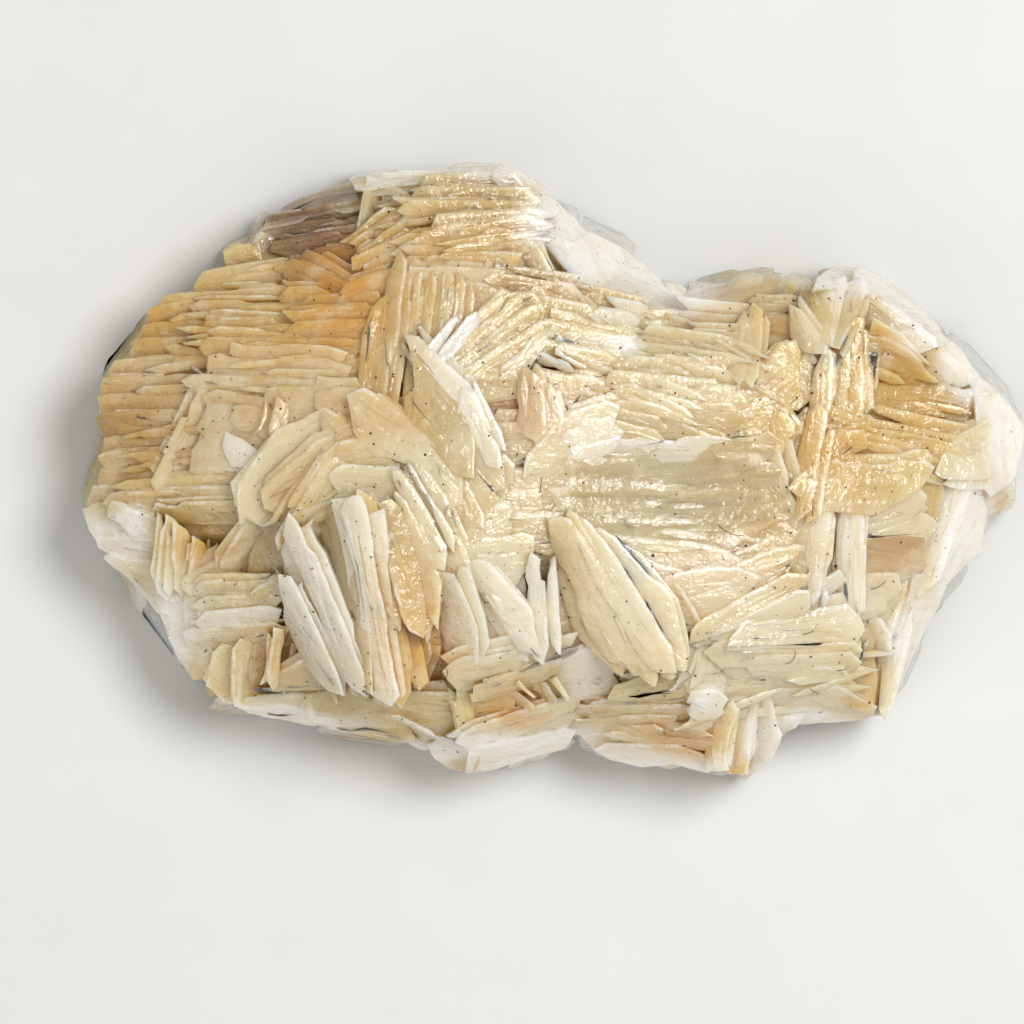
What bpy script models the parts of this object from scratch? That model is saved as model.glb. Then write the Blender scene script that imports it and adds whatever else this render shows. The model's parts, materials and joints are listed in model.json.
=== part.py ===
"""A bladed barite crystal cluster, lying on its flat base with its crystals up.

One solid: thin tabular blades with chisel-edged rims, grown through one another and out of a low massive
base. The tables are in millimetres, with X along the cluster's length, Y across it and Z up. Each blade is
given by its crest, the edge that stands highest, as seen from straight above.
"""

import math
import random
from collections import namedtuple

import bmesh
import bpy
from mathutils import Matrix, Vector

MM = 0.001

# Driving dimensions, in millimetres
RIM_HEIGHT = 15.0
CROWN_HEIGHT = 36.0
CROWN_POWER = 2.6
WIDE_SEGMENTS = 8
NARROW_SEGMENTS = 6
NARROW_WIDTH = 9.5
CHISEL_SHARE = 0.8
PITCH_SHARE = 0.7
SEED = 11

# Rounded lumps of the far side, outside the crests: x, y, z and the three radii
LUMPS = [
    (14.6, 21.4, 10.0, 3.4, 3.2, 5.5),
    (19.6, 20.6, 11.0, 4.2, 3.4, 5.0),
    (25.4, 21.4, 11.5, 4.4, 4.2, 6.0),
    (30.6, 20.8, 12.5, 4.2, 4.4, 6.5),
]

# How far a blade's plan is bent towards a box, below 1, or a point, above 1: along it and across it
OUTLINE_POWERS = {"tablet": (0.5, 0.6), "leaf": (1.1, 0.9)}

# The plan outline of the widest level of the base, anticlockwise from the right-hand tip
OUTLINE = [
    (60.1, 5.5), (57.2, 9.6), (54.0, 12.2), (51.8, 15.4), (47.0, 20.2), (41.5, 25.0), (39.0, 26.1),
    (36.3, 26.4), (34.0, 24.9), (32.8, 24.2), (30.0, 25.2), (27.5, 25.5), (24.0, 24.6), (19.0, 23.8),
    (17.0, 23.0), (14.0, 24.7), (12.8, 24.4), (11.0, 26.6), (8.0, 28.6), (5.0, 30.2), (1.0, 33.4),
    (-1.5, 36.4), (-4.0, 38.1), (-7.0, 39.1), (-12.5, 39.2), (-13.4, 38.4), (-20.5, 38.5), (-26.0, 37.2),
    (-27.0, 36.3), (-32.7, 34.9), (-37.2, 31.9), (-39.0, 28.6), (-40.7, 29.2), (-41.8, 28.3),
    (-41.8, 26.0), (-43.2, 24.6), (-44.4, 25.1), (-45.6, 23.3), (-50.0, 21.6), (-51.5, 19.7),
    (-54.3, 14.4), (-56.3, 12.9), (-58.5, 7.3), (-57.9, 4.5), (-58.5, 1.6), (-57.5, 0.0), (-60.1, -5.0),
    (-58.7, -10.0), (-52.8, -14.5), (-49.0, -21.5), (-47.6, -23.2), (-46.0, -26.0), (-43.5, -28.5),
    (-39.5, -30.6), (-32.0, -32.1), (-22.0, -33.8), (-17.0, -35.0), (-12.0, -38.4), (-9.0, -38.5),
    (-1.0, -36.0), (1.3, -35.3), (3.0, -33.4), (8.0, -36.7), (11.0, -37.6), (15.0, -37.3), (23.0, -39.3),
    (25.4, -38.6), (28.4, -34.0), (32.5, -32.1), (42.0, -31.7), (43.7, -28.4), (46.0, -22.5),
    (50.0, -14.9), (54.3, -10.6), (56.9, -5.4), (58.8, -1.0),
]

# The base's levels from the floor up: height, and the share of the outline's radius there
BASE_LEVELS = [(0.0, 0.91), (8.0, 0.985)]

# Above those the base follows the surface of the crests, this far below it at each share of the outline
TOP_LEVELS = [(0.95, 2.8), (0.78, 3.6), (0.5, 4.2), (0.0, 4.2)]

# How unevenly the base's levels run: up and down, and in and out
UNEVEN_HEIGHT = 1.3
UNEVEN_SHARE = 0.012

# Hollows and ridges of the crest surface: x, y, radius along x, radius along y, height change
RELIEF = [
    (15.0, -2.5, 14.0, 7.5, -5.5),
    (44.0, 9.0, 7.0, 5.0, -4.0),
    (46.0, 17.0, 12.0, 6.0, 6.0),
    (-42.0, -9.0, 4.0, 4.0, -3.0),
    (-31.0, 30.0, 7.0, 5.0, -3.0),
    (-10.0, 31.0, 12.0, 8.0, 4.0),
    (-23.0, -14.0, 12.0, 12.0, 3.0),
    (6.0, -32.0, 9.0, 6.0, -3.0),
]

Blade = namedtuple(
    "Blade",
    "x0 y0 x1 y1 width lean thick form lift copies step fan",
    defaults=("tablet", 0.0, 1, 1.6, 4.0),
)

# Each blade's crest runs from (x0, y0) to (x1, y1) with the raised edge on its left: at lean 0 the blade
# lies flat to the right of the crest, and at lean 90 it stands on edge. Copies follow to the right.
BLADES = [
    # Long plates of the left shoulder, stepping down towards the front
    Blade(-50, 20.6, -31, 22.0, 9, 30, 2.2, "tablet"),
    Blade(-46, 24.0, -30, 25.2, 8, 35, 2.0, "leaf", -1.0),
    Blade(-53, 17.2, -36, 18.2, 8, 32, 2.0, "tablet"),
    Blade(-57, 13.2, -41, 14.2, 9, 42, 2.2, "leaf", 0.5),
    Blade(-44, 14.3, -27, 13.4, 8, 40, 2.0, "leaf", 1.0),
    Blade(-57.5, 9.6, -46, 9.3, 6, 35, 1.8, "tablet", -2.0),
    Blade(-58, 3.2, -49, 3.9, 7, 28, 2.0, "tablet", -0.5),
    Blade(-59, -1.6, -50, -1.0, 7, 30, 2.0, "leaf", -0.5),
    Blade(-42.5, 27.5, -34, 26.6, 7, 40, 1.8, "leaf", -2.0),
    # The darker broken patch at the upper left, low lamellae
    Blade(-38.5, 30.8, -27, 26.9, 7, 52, 1.8, "tablet", -1.0, 2, 2.4, 3.0),
    Blade(-36.5, 33.4, -25, 30.6, 7, 45, 2.0, "tablet", -0.5),
    Blade(-33, 35.0, -24, 34.2, 7, 40, 2.2, "tablet", 0.0),
    # Golden lamellae below it
    Blade(-31, 27.6, -24.6, 22.6, 9, 55, 1.4, "leaf", 1.0, 3, 1.7, 5.0),
    Blade(-34, 22.6, -22.4, 21.0, 8, 35, 1.8, "tablet", 0.0),
    Blade(-33, 17.6, -23, 17.0, 7, 40, 1.6, "tablet", 0.0),
    # The tall run of lamellae right of them
    Blade(-23.6, 7.5, -19.6, 24.6, 9, 68, 1.5, "leaf", 1.0, 3, 1.9, -3.0),
    # The upper crown: broad plates and the small lamellae beside them
    Blade(-24.2, 30.0, -22.9, 38.0, 8, 75, 1.5, "leaf", 0.5),
    Blade(-24.2, 26.2, -17.6, 31.4, 7, 62, 1.1, "leaf", 0.5, 3, 1.4, -6.0),
    Blade(-22, 36.6, -13, 37.4, 7, 38, 2.0, "leaf", 0.0),
    Blade(-16, 36.4, 0.5, 34.8, 8, 30, 2.2, "leaf", 0.5),
    Blade(-20.5, 33.8, -1.5, 33.2, 8, 34, 2.0, "leaf", 1.2),
    Blade(-18, 30.2, -2.5, 31.0, 8, 38, 1.9, "leaf", 1.0),
    Blade(-19, 26.9, -2.5, 28.2, 7, 45, 1.7, "leaf", 0.8),
    Blade(-6.8, 26.6, -5.6, 22.6, 6, 74, 1.5, "leaf", 0.0),
    Blade(-4.0, 28.0, 0.0, 22.4, 7, 70, 1.6, "leaf", 1.0),
    Blade(11.6, 18.6, -1.4, 29.6, 12, 46, 3.0, "tablet", 0.2),
    Blade(-9.2, 23.8, 11.6, 19.6, 7, 72, 2.0, "leaf", 1.6),
    # The striped stack and the ridged bundle of the centre left
    Blade(-17.2, 15.2, -15.8, 24.4, 9, 78, 1.25, "tablet", 0.6, 5, 1.65, 1.0),
    Blade(-14.2, 13.4, -5.4, 22.4, 9, 66, 1.5, "tablet", 1.4, 4, 2.1, 2.0),
    Blade(-6.6, 11.8, -0.4, 18.8, 7, 60, 1.4, "leaf", 0.6),
    # The big speckled leaf and the long arched blade in front of it
    Blade(-18.4, 17.0, -6.6, -1.0, 12, 44, 2.4, "leaf", 3.0),
    Blade(-26.5, 10.6, -8.6, -6.4, 9, 50, 2.4, "leaf", 3.0),
    Blade(-43.5, 10.0, -22.5, 10.2, 8, 52, 2.2, "leaf", 1.6),
    Blade(-16.0, 1.0, -8.8, -8.5, 6, 55, 1.6, "leaf", 1.6),
    # Left flank: slab, stepped tablet, small amber sliver, pale block
    Blade(-50.6, -1.4, -44.3, 10.0, 7, 62, 3.0, "tablet", 1.6),
    Blade(-45, 8.7, -35.4, 7.3, 8, 30, 1.8, "tablet", 0.6),
    Blade(-47.4, 1.0, -42.6, 8.6, 5, 45, 1.2, "tablet", 0.4),
    Blade(-35.3, 3.8, -34.1, 9.4, 6, 84, 1.0, "leaf", 1.8),
    Blade(-39.0, -5.2, -28.6, 7.4, 9, 36, 2.6, "tablet", 2.0),
    Blade(-51.5, -1.4, -38.4, -1.8, 8, 20, 2.0, "tablet", -0.6),
    Blade(-56.2, -4.6, -50.0, -6.4, 6, 40, 2.0, "tablet", 0.0),
    Blade(-58.2, -4.8, -51.4, -9.0, 7, 48, 2.4, "tablet", -0.5),
    # Upright yellow tips and the blade that closes the amber pit
    Blade(-48.8, -5.4, -49.8, -14.6, 8, 72, 1.7, "leaf", 2.2),
    Blade(-47.0, -5.8, -47.8, -15.0, 8, 78, 1.6, "leaf", 2.0),
    Blade(-45.4, -7.6, -45.2, -13.6, 7, 82, 1.2, "leaf", 1.2),
    Blade(-46.0, -13.2, -37.2, -5.4, 7, 48, 2.0, "tablet", 1.4),
    Blade(-40.6, -9.4, -31.6, -0.2, 8, 40, 2.0, "tablet", 1.6),
    Blade(-35.6, -6.6, -27.4, 2.2, 7, 55, 1.6, "leaf", 1.6),
    # Fins of the lower left, standing on edge
    Blade(-34.2, -13.4, -28.2, -27.0, 11, 84, 2.1, "leaf", 3.0),
    Blade(-33.2, -6.6, -24.4, -26.6, 11, 82, 2.2, "leaf", 3.2),
    Blade(-30.2, -7.4, -27.0, -15.0, 9, 80, 1.5, "leaf", 2.6),
    Blade(-26.6, -4.0, -21.2, -28.6, 11, 62, 2.4, "leaf", 3.2),
    Blade(-23.4, -3.6, -18.0, -27.8, 10, 72, 2.0, "leaf", 2.2),
    Blade(-20.6, -7.0, -16.2, -23.0, 9, 68, 1.7, "leaf", 1.6),
    Blade(-28.5, 3.8, -15.2, -8.6, 10, 44, 2.0, "leaf", 2.6),
    Blade(-17.6, -4.0, -12.8, -16.0, 9, 60, 1.8, "leaf", 2.2),
    Blade(-15.0, -2.4, -9.6, -24.4, 10, 66, 2.0, "leaf", 2.6),
    Blade(-14.2, -13.0, -11.2, -28.6, 10, 78, 2.9, "leaf", 3.4),
    Blade(-12.6, -25.4, -10.8, -34.4, 9, 80, 2.0, "leaf", 2.4),
    Blade(-11.4, -9.0, -2.2, -23.2, 10, 50, 2.2, "leaf", 2.6),
    Blade(-3.2, -12.6, -1.6, -22.6, 9, 84, 1.8, "leaf", 2.6),
    Blade(-11.6, -9.4, -4.4, -3.4, 8, 34, 2.0, "tablet", 1.6),
    Blade(-8.8, -5.6, -2.0, -1.0, 6, 26, 1.8, "tablet", 0.6),
    # Broken, sparkling plates of the lower left corner
    Blade(-46.4, -15.4, -34.2, -13.4, 8, 38, 2.0, "tablet", 1.4),
    Blade(-48.0, -18.8, -35.8, -17.2, 8, 42, 2.0, "tablet", 1.0),
    Blade(-41.4, -22.6, -42.2, -28.6, 7, 62, 2.2, "tablet", 0.0, 2, 2.4, 4.0),
    Blade(-38.4, -22.6, -38.8, -29.0, 7, 66, 1.6, "tablet", 0.2, 2, -2.0, 3.0),
    Blade(-34.9, -19.6, -35.8, -27.6, 7, 86, 1.0, "leaf", 1.4),
    Blade(-26.4, -27.2, -36.0, -27.8, 7, 46, 1.6, "tablet", 1.2),
    # The front edge, left to right
    Blade(-38.4, -27.8, -18.6, -29.8, 7, 56, 2.2, "leaf", 0.4),
    Blade(-24.0, -28.2, -13.2, -28.8, 7, 36, 2.0, "tablet", -0.6),
    Blade(-22.4, -30.6, -12.4, -34.8, 7, 48, 2.0, "leaf", 0.8),
    Blade(-10.6, -24.0, 3.0, -20.8, 7, 44, 1.8, "leaf", 2.2),
    Blade(-11.0, -27.6, -0.6, -24.8, 7, 62, 1.7, "leaf", 1.8),
    Blade(-5.8, -27.2, -3.2, -30.6, 6, 70, 1.1, "leaf", 0.2),
    Blade(-2.2, -25.8, -0.2, -29.6, 6, 70, 1.2, "leaf", 0.6),
    Blade(-11.2, -31.4, 3.2, -26.8, 12, 44, 4.0, "tablet", 1.0),
    Blade(0.6, -24.6, 6.6, -22.2, 8, 30, 2.6, "tablet", 1.6),
    Blade(3.0, -27.8, 8.4, -25.6, 6, 36, 1.8, "tablet", 1.0),
    Blade(3.6, -33.2, 17.6, -28.2, 7, 46, 1.5, "leaf", 0.4, 3, 1.9, -3.0),
    Blade(8.0, -26.8, 18.4, -24.4, 7, 40, 1.6, "leaf", 0.2),
    Blade(6.4, -32.8, 20.6, -34.0, 7, 58, 2.0, "leaf", 0.0),
    # The vertical stack of the lower middle
    Blade(22.0, -27.4, 20.2, -36.8, 9, 68, 1.8, "tablet", 1.6),
    Blade(24.6, -28.0, 23.2, -37.8, 9, 64, 2.0, "tablet", 1.6),
    Blade(27.4, -28.6, 26.0, -36.8, 8, 60, 2.4, "tablet", 1.0),
    Blade(17.4, -27.8, 19.8, -19.8, 8, 38, 2.4, "tablet", 2.0),
    Blade(17.6, -31.6, 21.0, -27.6, 6, 40, 2.6, "tablet", 1.6),
    # The large striped leaf of the middle and the blades fanned against it
    Blade(1.6, -5.6, 16.4, -25.0, 13, 42, 2.4, "leaf", 3.0),
    Blade(1.0, -9.6, 12.2, -25.4, 8, 50, 1.8, "leaf", 1.4),
    Blade(5.2, -5.4, 15.0, -14.2, 7, 36, 1.6, "leaf", 2.6),
    Blade(13.6, -12.6, 18.0, -27.0, 8, 62, 1.7, "leaf", 1.8),
    # The round hollow and its rim
    Blade(0.0, 2.2, 29.0, 3.0, 15, 9, 2.2, "leaf", 1.0),
    Blade(3.0, -6.4, 29.0, -5.2, 9, 14, 1.8, "leaf", 0.8),
    Blade(24.6, 3.2, 32.2, -13.6, 8, 52, 1.7, "leaf", 2.4),
    Blade(6.2, 4.4, 21.4, 4.8, 6, 38, 2.0, "leaf", 1.0),
    Blade(-4.4, 0.2, 4.8, 8.4, 10, 30, 2.4, "leaf", 2.4),
    Blade(-1.8, -1.6, 7.6, 3.2, 5, 48, 1.7, "leaf", 2.2),
    # Pinkish tablets and the golden leaf above the hollow
    Blade(-4.4, 12.4, -0.8, 4.0, 7, 58, 1.6, "tablet", 1.8),
    Blade(-1.6, 12.0, 1.4, 4.8, 6, 60, 1.4, "tablet", 1.0),
    Blade(-7.4, 6.4, -2.6, 5.6, 6, 30, 1.8, "tablet", -0.4),
    Blade(-4.4, 14.6, 3.4, 11.8, 7, 46, 1.7, "leaf", 1.4),
    Blade(-3.8, 12.2, 8.4, 8.8, 7, 34, 2.0, "leaf", 1.0),
    # Long plates of the upper middle
    Blade(-2.4, 21.8, 10.8, 15.8, 8, 46, 1.9, "leaf", 1.2),
    Blade(6.6, 20.2, 24.4, 18.4, 7, 34, 1.8, "leaf", 0.4),
    Blade(8.4, 17.0, 23.0, 14.6, 7, 32, 1.8, "leaf", 0.4),
    Blade(-1.6, 17.8, 13.6, 10.6, 8, 36, 1.9, "leaf", 0.8),
    Blade(8.0, 13.4, 24.2, 11.0, 8, 26, 2.0, "leaf", 0.2),
    Blade(6.2, 9.4, 23.4, 8.0, 6, 30, 1.8, "leaf", 1.0),
    Blade(25.6, 21.2, 26.8, 13.2, 7, 72, 1.5, "leaf", 0.8),
    Blade(23.0, 20.4, 24.4, 13.0, 7, 66, 1.6, "leaf", 0.2),
    # The cream leaves left of the right wing
    Blade(23.0, 5.0, 29.6, 16.0, 9, 38, 2.2, "leaf", 2.6),
    Blade(27.0, 2.6, 29.2, 9.0, 5, 40, 1.6, "leaf", 2.6),
    # The low knobs behind, outside the crest
    Blade(31.6, 19.4, 25.4, 19.8, 6, 34, 2.6, "tablet", -1.5),
    Blade(23.4, 18.8, 16.4, 18.4, 6, 38, 2.2, "tablet", -3.6),
    # Right wing: the fan under its apex
    Blade(34.4, 14.6, 30.4, 21.2, 8, 68, 1.5, "leaf", 2.4),
    Blade(34.6, 14.6, 33.0, 23.0, 8, 76, 1.3, "leaf", 2.6),
    Blade(34.8, 14.6, 35.2, 24.2, 8, 82, 1.4, "leaf", 2.8),
    Blade(35.4, 14.8, 38.0, 23.0, 8, 80, 1.4, "leaf", 2.6),
    Blade(34.5, 17.4, 32.4, 6.6, 9, 70, 2.1, "leaf", 2.6),
    Blade(33.8, 8.0, 30.6, -4.8, 9, 64, 2.3, "leaf", 2.4),
    Blade(38.6, 18.0, 38.4, 4.6, 9, 60, 1.8, "tablet", 1.6),
    Blade(36.2, 17.0, 36.2, 6.0, 8, 70, 1.4, "tablet", 1.2),
    # Right wing: the long ridge, white outside and cream inside
    Blade(56.4, 6.6, 36.8, 23.8, 12, 66, 3.0, "tablet", 0.6),
    Blade(37.4, 25.0, 57.6, 7.4, 10, 42, 2.4, "tablet", 1.0),
    Blade(39.6, 17.4, 49.8, 10.6, 7, 48, 1.6, "leaf", 0.4),
    Blade(38.6, 10.8, 53.0, 9.8, 9, 14, 1.8, "tablet", 0.0),
    Blade(38.0, 5.8, 56.0, 3.4, 7, 46, 2.0, "leaf", 1.4),
    Blade(33.4, 7.4, 39.4, 4.4, 6, 38, 1.7, "leaf", 1.6),
    Blade(40.0, 2.6, 54.0, 1.6, 6, 30, 1.6, "tablet", 0.4),
    Blade(58.6, 4.6, 54.6, -4.6, 7, 36, 2.6, "tablet", -0.5),
    # Right wing: the broad smooth plates and the two upright bars
    Blade(31.8, -2.0, 48.8, -0.4, 10, 22, 2.0, "leaf", 1.4),
    Blade(37.8, -7.8, 47.6, -8.2, 8, 40, 2.0, "tablet", 0.6),
    Blade(36.9, -5.2, 37.8, -20.0, 9, 86, 2.1, "leaf", 2.6),
    Blade(38.2, -17.4, 37.0, -26.4, 8, 82, 1.5, "leaf", 2.0),
    Blade(32.7, -3.4, 32.8, -15.6, 9, 82, 2.1, "leaf", 2.2),
    Blade(32.2, -16.0, 36.8, -13.6, 7, 70, 1.4, "tablet", 0.4),
    # The white right-hand edge
    Blade(40.6, -30.6, 45.4, -12.0, 11, 56, 3.2, "tablet", 0.8),
    Blade(44.6, -15.0, 49.6, 0.0, 11, 52, 3.2, "tablet", 0.6),
    Blade(51.6, -11.0, 55.4, -3.4, 7, 62, 2.4, "tablet", -0.5),
    Blade(40.9, -17.6, 40.6, -31.0, 7, 62, 1.7, "tablet", 0.6),
    # Long steps of the lower right
    Blade(15.0, -20.8, 28.6, -9.6, 8, 28, 1.8, "leaf", 1.0),
    Blade(14.4, -15.4, 25.6, -11.6, 7, 24, 1.8, "leaf", 0.4),
    Blade(20.4, -20.4, 30.2, -15.0, 6, 44, 1.3, "leaf", 0.8, 2, 1.6, 3.0),
    Blade(23.6, -20.0, 38.2, -17.2, 8, 32, 1.9, "tablet", 1.6),
    Blade(19.4, -22.4, 37.8, -21.6, 6, 28, 1.7, "tablet", 0.8),
    Blade(19.6, -25.2, 31.0, -22.6, 6, 46, 1.6, "leaf", 0.8),
    Blade(25.4, -26.2, 38.8, -25.4, 6, 38, 1.8, "tablet", 1.2),
    Blade(26.4, -28.8, 40.4, -28.6, 8, 44, 2.4, "tablet", 1.2),
]

# Steep blades set like shingles all round the sides: how many, and the ranges they are drawn from
SIDE_BLADES = 22
SIDE_HEIGHT = (13.0, 16.5)
SIDE_LENGTH = (12.0, 19.0)
SIDE_WIDTH = (9.5, 13.0)
SIDE_LEAN = (66.0, 82.0)
SIDE_TURN = 14.0
SIDE_INSET = 4.1
SIDE_THICK = 2.6


def clear_scene():
    for obj in list(bpy.data.objects):
        bpy.data.objects.remove(obj, do_unlink=True)


def new_collection(name):
    collection = bpy.data.collections.new(name)
    bpy.context.scene.collection.children.link(collection)
    return collection


def barite_material():
    material = bpy.data.materials.new("barite")
    material.use_nodes = True
    shader = material.node_tree.nodes["Principled BSDF"]
    shader.inputs["Base Color"].default_value = (0.80, 0.68, 0.47, 1.0)
    shader.inputs["Roughness"].default_value = 0.38
    shader.inputs["Metallic"].default_value = 0.0
    return material


def outline_radius(angle):
    """The outline's distance from the middle in that direction."""
    direction = Vector((math.cos(angle), math.sin(angle)))
    for i, corner in enumerate(OUTLINE):
        a, b = Vector(corner), Vector(OUTLINE[(i + 1) % len(OUTLINE)])
        side_a = direction.x * a.y - direction.y * a.x
        side_b = direction.x * b.y - direction.y * b.x
        if side_a <= 0.0 < side_b and direction.dot(a + b) > 0.0:
            share = side_a / (side_a - side_b)
            return a.lerp(b, share).length
    return Vector(OUTLINE[0]).length


def crest_height(x, y):
    """Height of the surface that the crests reach: a crown that falls to the rim, with hollows and ridges."""
    share = min(1.0, math.hypot(x, y) / outline_radius(math.atan2(y, x)))
    height = RIM_HEIGHT + (CROWN_HEIGHT - RIM_HEIGHT) * (1.0 - share**CROWN_POWER)
    for cx, cy, rx, ry, change in RELIEF:
        height += change * math.exp(-(((x - cx) / rx) ** 2) - ((y - cy) / ry) ** 2)
    return height


def rounded(value, power):
    """A sine or cosine bent towards a box, below 1, or towards a point, above 1."""
    return math.copysign(abs(value) ** power, value)


def blade_mesh(length, width, thick, form):
    """A flat crystal about its own middle: length along X, width along Y, with a chisel edge round its face."""
    bm = bmesh.new()
    segments = WIDE_SEGMENTS if width > NARROW_WIDTH else NARROW_SEGMENTS
    turn = math.pi / segments if form == "tablet" and segments == WIDE_SEGMENTS else 0.0
    bmesh.ops.create_cone(
        bm, cap_ends=True, segments=segments, radius1=1.0, radius2=1.0, depth=2.0,
        matrix=Matrix.Rotation(turn, 4, "Z"),
    )
    along_power, across_power = OUTLINE_POWERS[form]
    chisel = min(thick * CHISEL_SHARE, 0.28 * width)
    for vert in bm.verts:
        angle = math.atan2(vert.co.y, vert.co.x)
        inset = chisel if vert.co.z > 0.0 else 0.0
        vert.co.x = (length / 2 - inset) * rounded(math.cos(angle), along_power)
        vert.co.y = (width / 2 - inset) * rounded(math.sin(angle), across_power)
        vert.co.z *= thick / 2
    bmesh.ops.recalc_face_normals(bm, faces=bm.faces[:])
    return bm


def blade_frame(start, end, width, lean):
    """The matrix that puts a blade's raised edge on the line from start to end."""
    along = (end - start).normalized()
    level = Vector((-along.y, along.x, 0.0)).normalized()
    upright = along.cross(level).normalized()
    turn = math.radians(lean)
    across = level * math.cos(turn) + upright * math.sin(turn)
    normal = along.cross(across)
    middle = (start + end) / 2 - across * (width / 2)
    turned = Matrix((along, across, normal)).transposed().to_4x4()
    return Matrix.Translation(middle) @ turned


def add_blade(collection, name, start, end, width, lean, thick, form):
    bm = blade_mesh((end - start).length, width, thick, form)
    bm.transform(Matrix.Scale(MM, 4) @ blade_frame(start, end, width, lean))
    mesh = bpy.data.meshes.new(name)
    bm.to_mesh(mesh)
    bm.free()
    obj = bpy.data.objects.new(name, mesh)
    collection.objects.link(obj)
    return obj


def crest_ends(blade, copy):
    """The two ends of a crest in space. Copies step to the right, turn by the fan angle and shorten a little."""
    start, end = Vector((blade.x0, blade.y0)), Vector((blade.x1, blade.y1))
    run = end - start
    right = Vector((run.y, -run.x)).normalized()
    middle = (start + end) / 2 + right * blade.step * copy
    half = run / 2 * (1.0 - 0.06 * copy)
    half.rotate(Matrix.Rotation(math.radians(-blade.fan * copy), 2))
    height = crest_height(middle.x, middle.y) + blade.lift - 0.35 * copy
    ends = []
    for point in (middle - half, middle + half):
        slope = PITCH_SHARE * (crest_height(point.x, point.y) - crest_height(middle.x, middle.y))
        ends.append(Vector((point.x, point.y, height + slope)))
    return ends


def add_crown_blades(collection):
    for number, blade in enumerate(BLADES):
        for copy in range(blade.copies):
            start, end = crest_ends(blade, copy)
            add_blade(
                collection, f"blade_{number}_{copy}", start, end,
                blade.width, blade.lean, blade.thick, blade.form,
            )


def rim_point(share):
    """A point that share of the way round the outline, and the direction of the outline there."""
    corners = [Vector(corner) for corner in OUTLINE]
    spans = [(corners[(i + 1) % len(corners)] - corner).length for i, corner in enumerate(corners)]
    left = share * sum(spans)
    for i, span in enumerate(spans):
        if left <= span:
            break
        left -= span
    run = corners[(i + 1) % len(corners)] - corners[i]
    around = corners[(i + 2) % len(corners)] - corners[i - 1]
    return corners[i] + run * left / span, around.normalized()


def add_side_blades(collection):
    """Steep blades set like shingles into the sides, all the way round."""
    rng = random.Random(SEED)
    for number in range(SIDE_BLADES):
        point, around = rim_point((number + rng.uniform(0.2, 0.8)) / SIDE_BLADES)
        point -= Vector((around.y, -around.x)) * SIDE_INSET
        around.rotate(Matrix.Rotation(math.radians(rng.uniform(-SIDE_TURN, SIDE_TURN)), 2))
        half = around.to_3d() * rng.uniform(*SIDE_LENGTH) / 2
        half.z = rng.uniform(-1.6, 1.6)
        crest = Vector((point.x, point.y, rng.uniform(*SIDE_HEIGHT)))
        add_blade(
            collection, f"side_{number}", crest - half, crest + half,
            rng.uniform(*SIDE_WIDTH), rng.uniform(*SIDE_LEAN), SIDE_THICK, "tablet",
        )


def add_lumps(collection):
    for number, (x, y, z, rx, ry, rz) in enumerate(LUMPS):
        bm = bmesh.new()
        bmesh.ops.create_icosphere(bm, subdivisions=2, radius=1.0)
        place = Matrix.Translation((x, y, z)) @ Matrix.Diagonal((rx, ry, rz, 1.0))
        bm.transform(Matrix.Scale(MM, 4) @ place)
        mesh = bpy.data.meshes.new(f"lump_{number}")
        bm.to_mesh(mesh)
        bm.free()
        collection.objects.link(bpy.data.objects.new(f"lump_{number}", mesh))


def bridge(bm, lower, upper):
    """Faces between two rings, where the upper one has as many points as the lower or half as many."""
    count = len(lower)
    for i in range(len(upper)):
        j = (i + 1) % len(upper)
        if len(upper) == count:
            bm.faces.new((lower[i], lower[j], upper[j], upper[i]))
            continue
        a, b, c = lower[2 * i], lower[2 * i + 1], lower[(2 * i + 2) % count]
        bm.faces.new((a, b, upper[i]))
        bm.faces.new((b, upper[j], upper[i]))
        bm.faces.new((b, c, upper[j]))


def roughened(corner, rng):
    """A corner of the base moved a little in or out and, above the floor, up or down."""
    x, y, z = corner
    share = 1.0 + rng.uniform(-UNEVEN_SHARE, UNEVEN_SHARE)
    rise = rng.uniform(-UNEVEN_HEIGHT, UNEVEN_HEIGHT) if z > 0.0 else 0.0
    return x * share, y * share, z + rise


def base_solid(collection):
    """The massive base: a loft through the outline at each level, closed by a crown point and a flat underside."""
    rng = random.Random(SEED + 1)
    bm = bmesh.new()
    rings = []
    for height, share in BASE_LEVELS:
        corners = [(x * share, y * share, height) for x, y in OUTLINE]
        rings.append([bm.verts.new(roughened(corner, rng)) for corner in corners])
    for share, depth in TOP_LEVELS[:-1]:
        corners = OUTLINE if share > 0.9 else OUTLINE[::2]
        corners = [(x * share, y * share, crest_height(x * share, y * share) - depth) for x, y in corners]
        rings.append([bm.verts.new(roughened(corner, rng)) for corner in corners])
    for lower, upper in zip(rings, rings[1:]):
        bridge(bm, lower, upper)
    bm.faces.new(rings[0][::-1])
    top = rings[-1]
    crown = bm.verts.new((0.0, 0.0, crest_height(0.0, 0.0) - TOP_LEVELS[-1][1]))
    for i in range(len(top)):
        bm.faces.new((top[i], top[(i + 1) % len(top)], crown))
    bmesh.ops.triangulate(bm, faces=bm.faces[:])
    bmesh.ops.recalc_face_normals(bm, faces=bm.faces[:])
    bm.transform(Matrix.Scale(MM, 4))
    mesh = bpy.data.meshes.new("barite_cluster")
    bm.to_mesh(mesh)
    bm.free()
    obj = bpy.data.objects.new("barite_cluster", mesh)
    collection.objects.link(obj)
    return obj


def floor_cutter(collection):
    """A block below the resting plane, which trims every blade flush with the underside."""
    size = 200 * MM
    bm = bmesh.new()
    bmesh.ops.create_cube(bm, size=size)
    bm.transform(Matrix.Translation((0, 0, -size / 2)))
    mesh = bpy.data.meshes.new("floor_cutter")
    bm.to_mesh(mesh)
    bm.free()
    obj = bpy.data.objects.new("floor_cutter", mesh)
    collection.objects.link(obj)
    return obj


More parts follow.
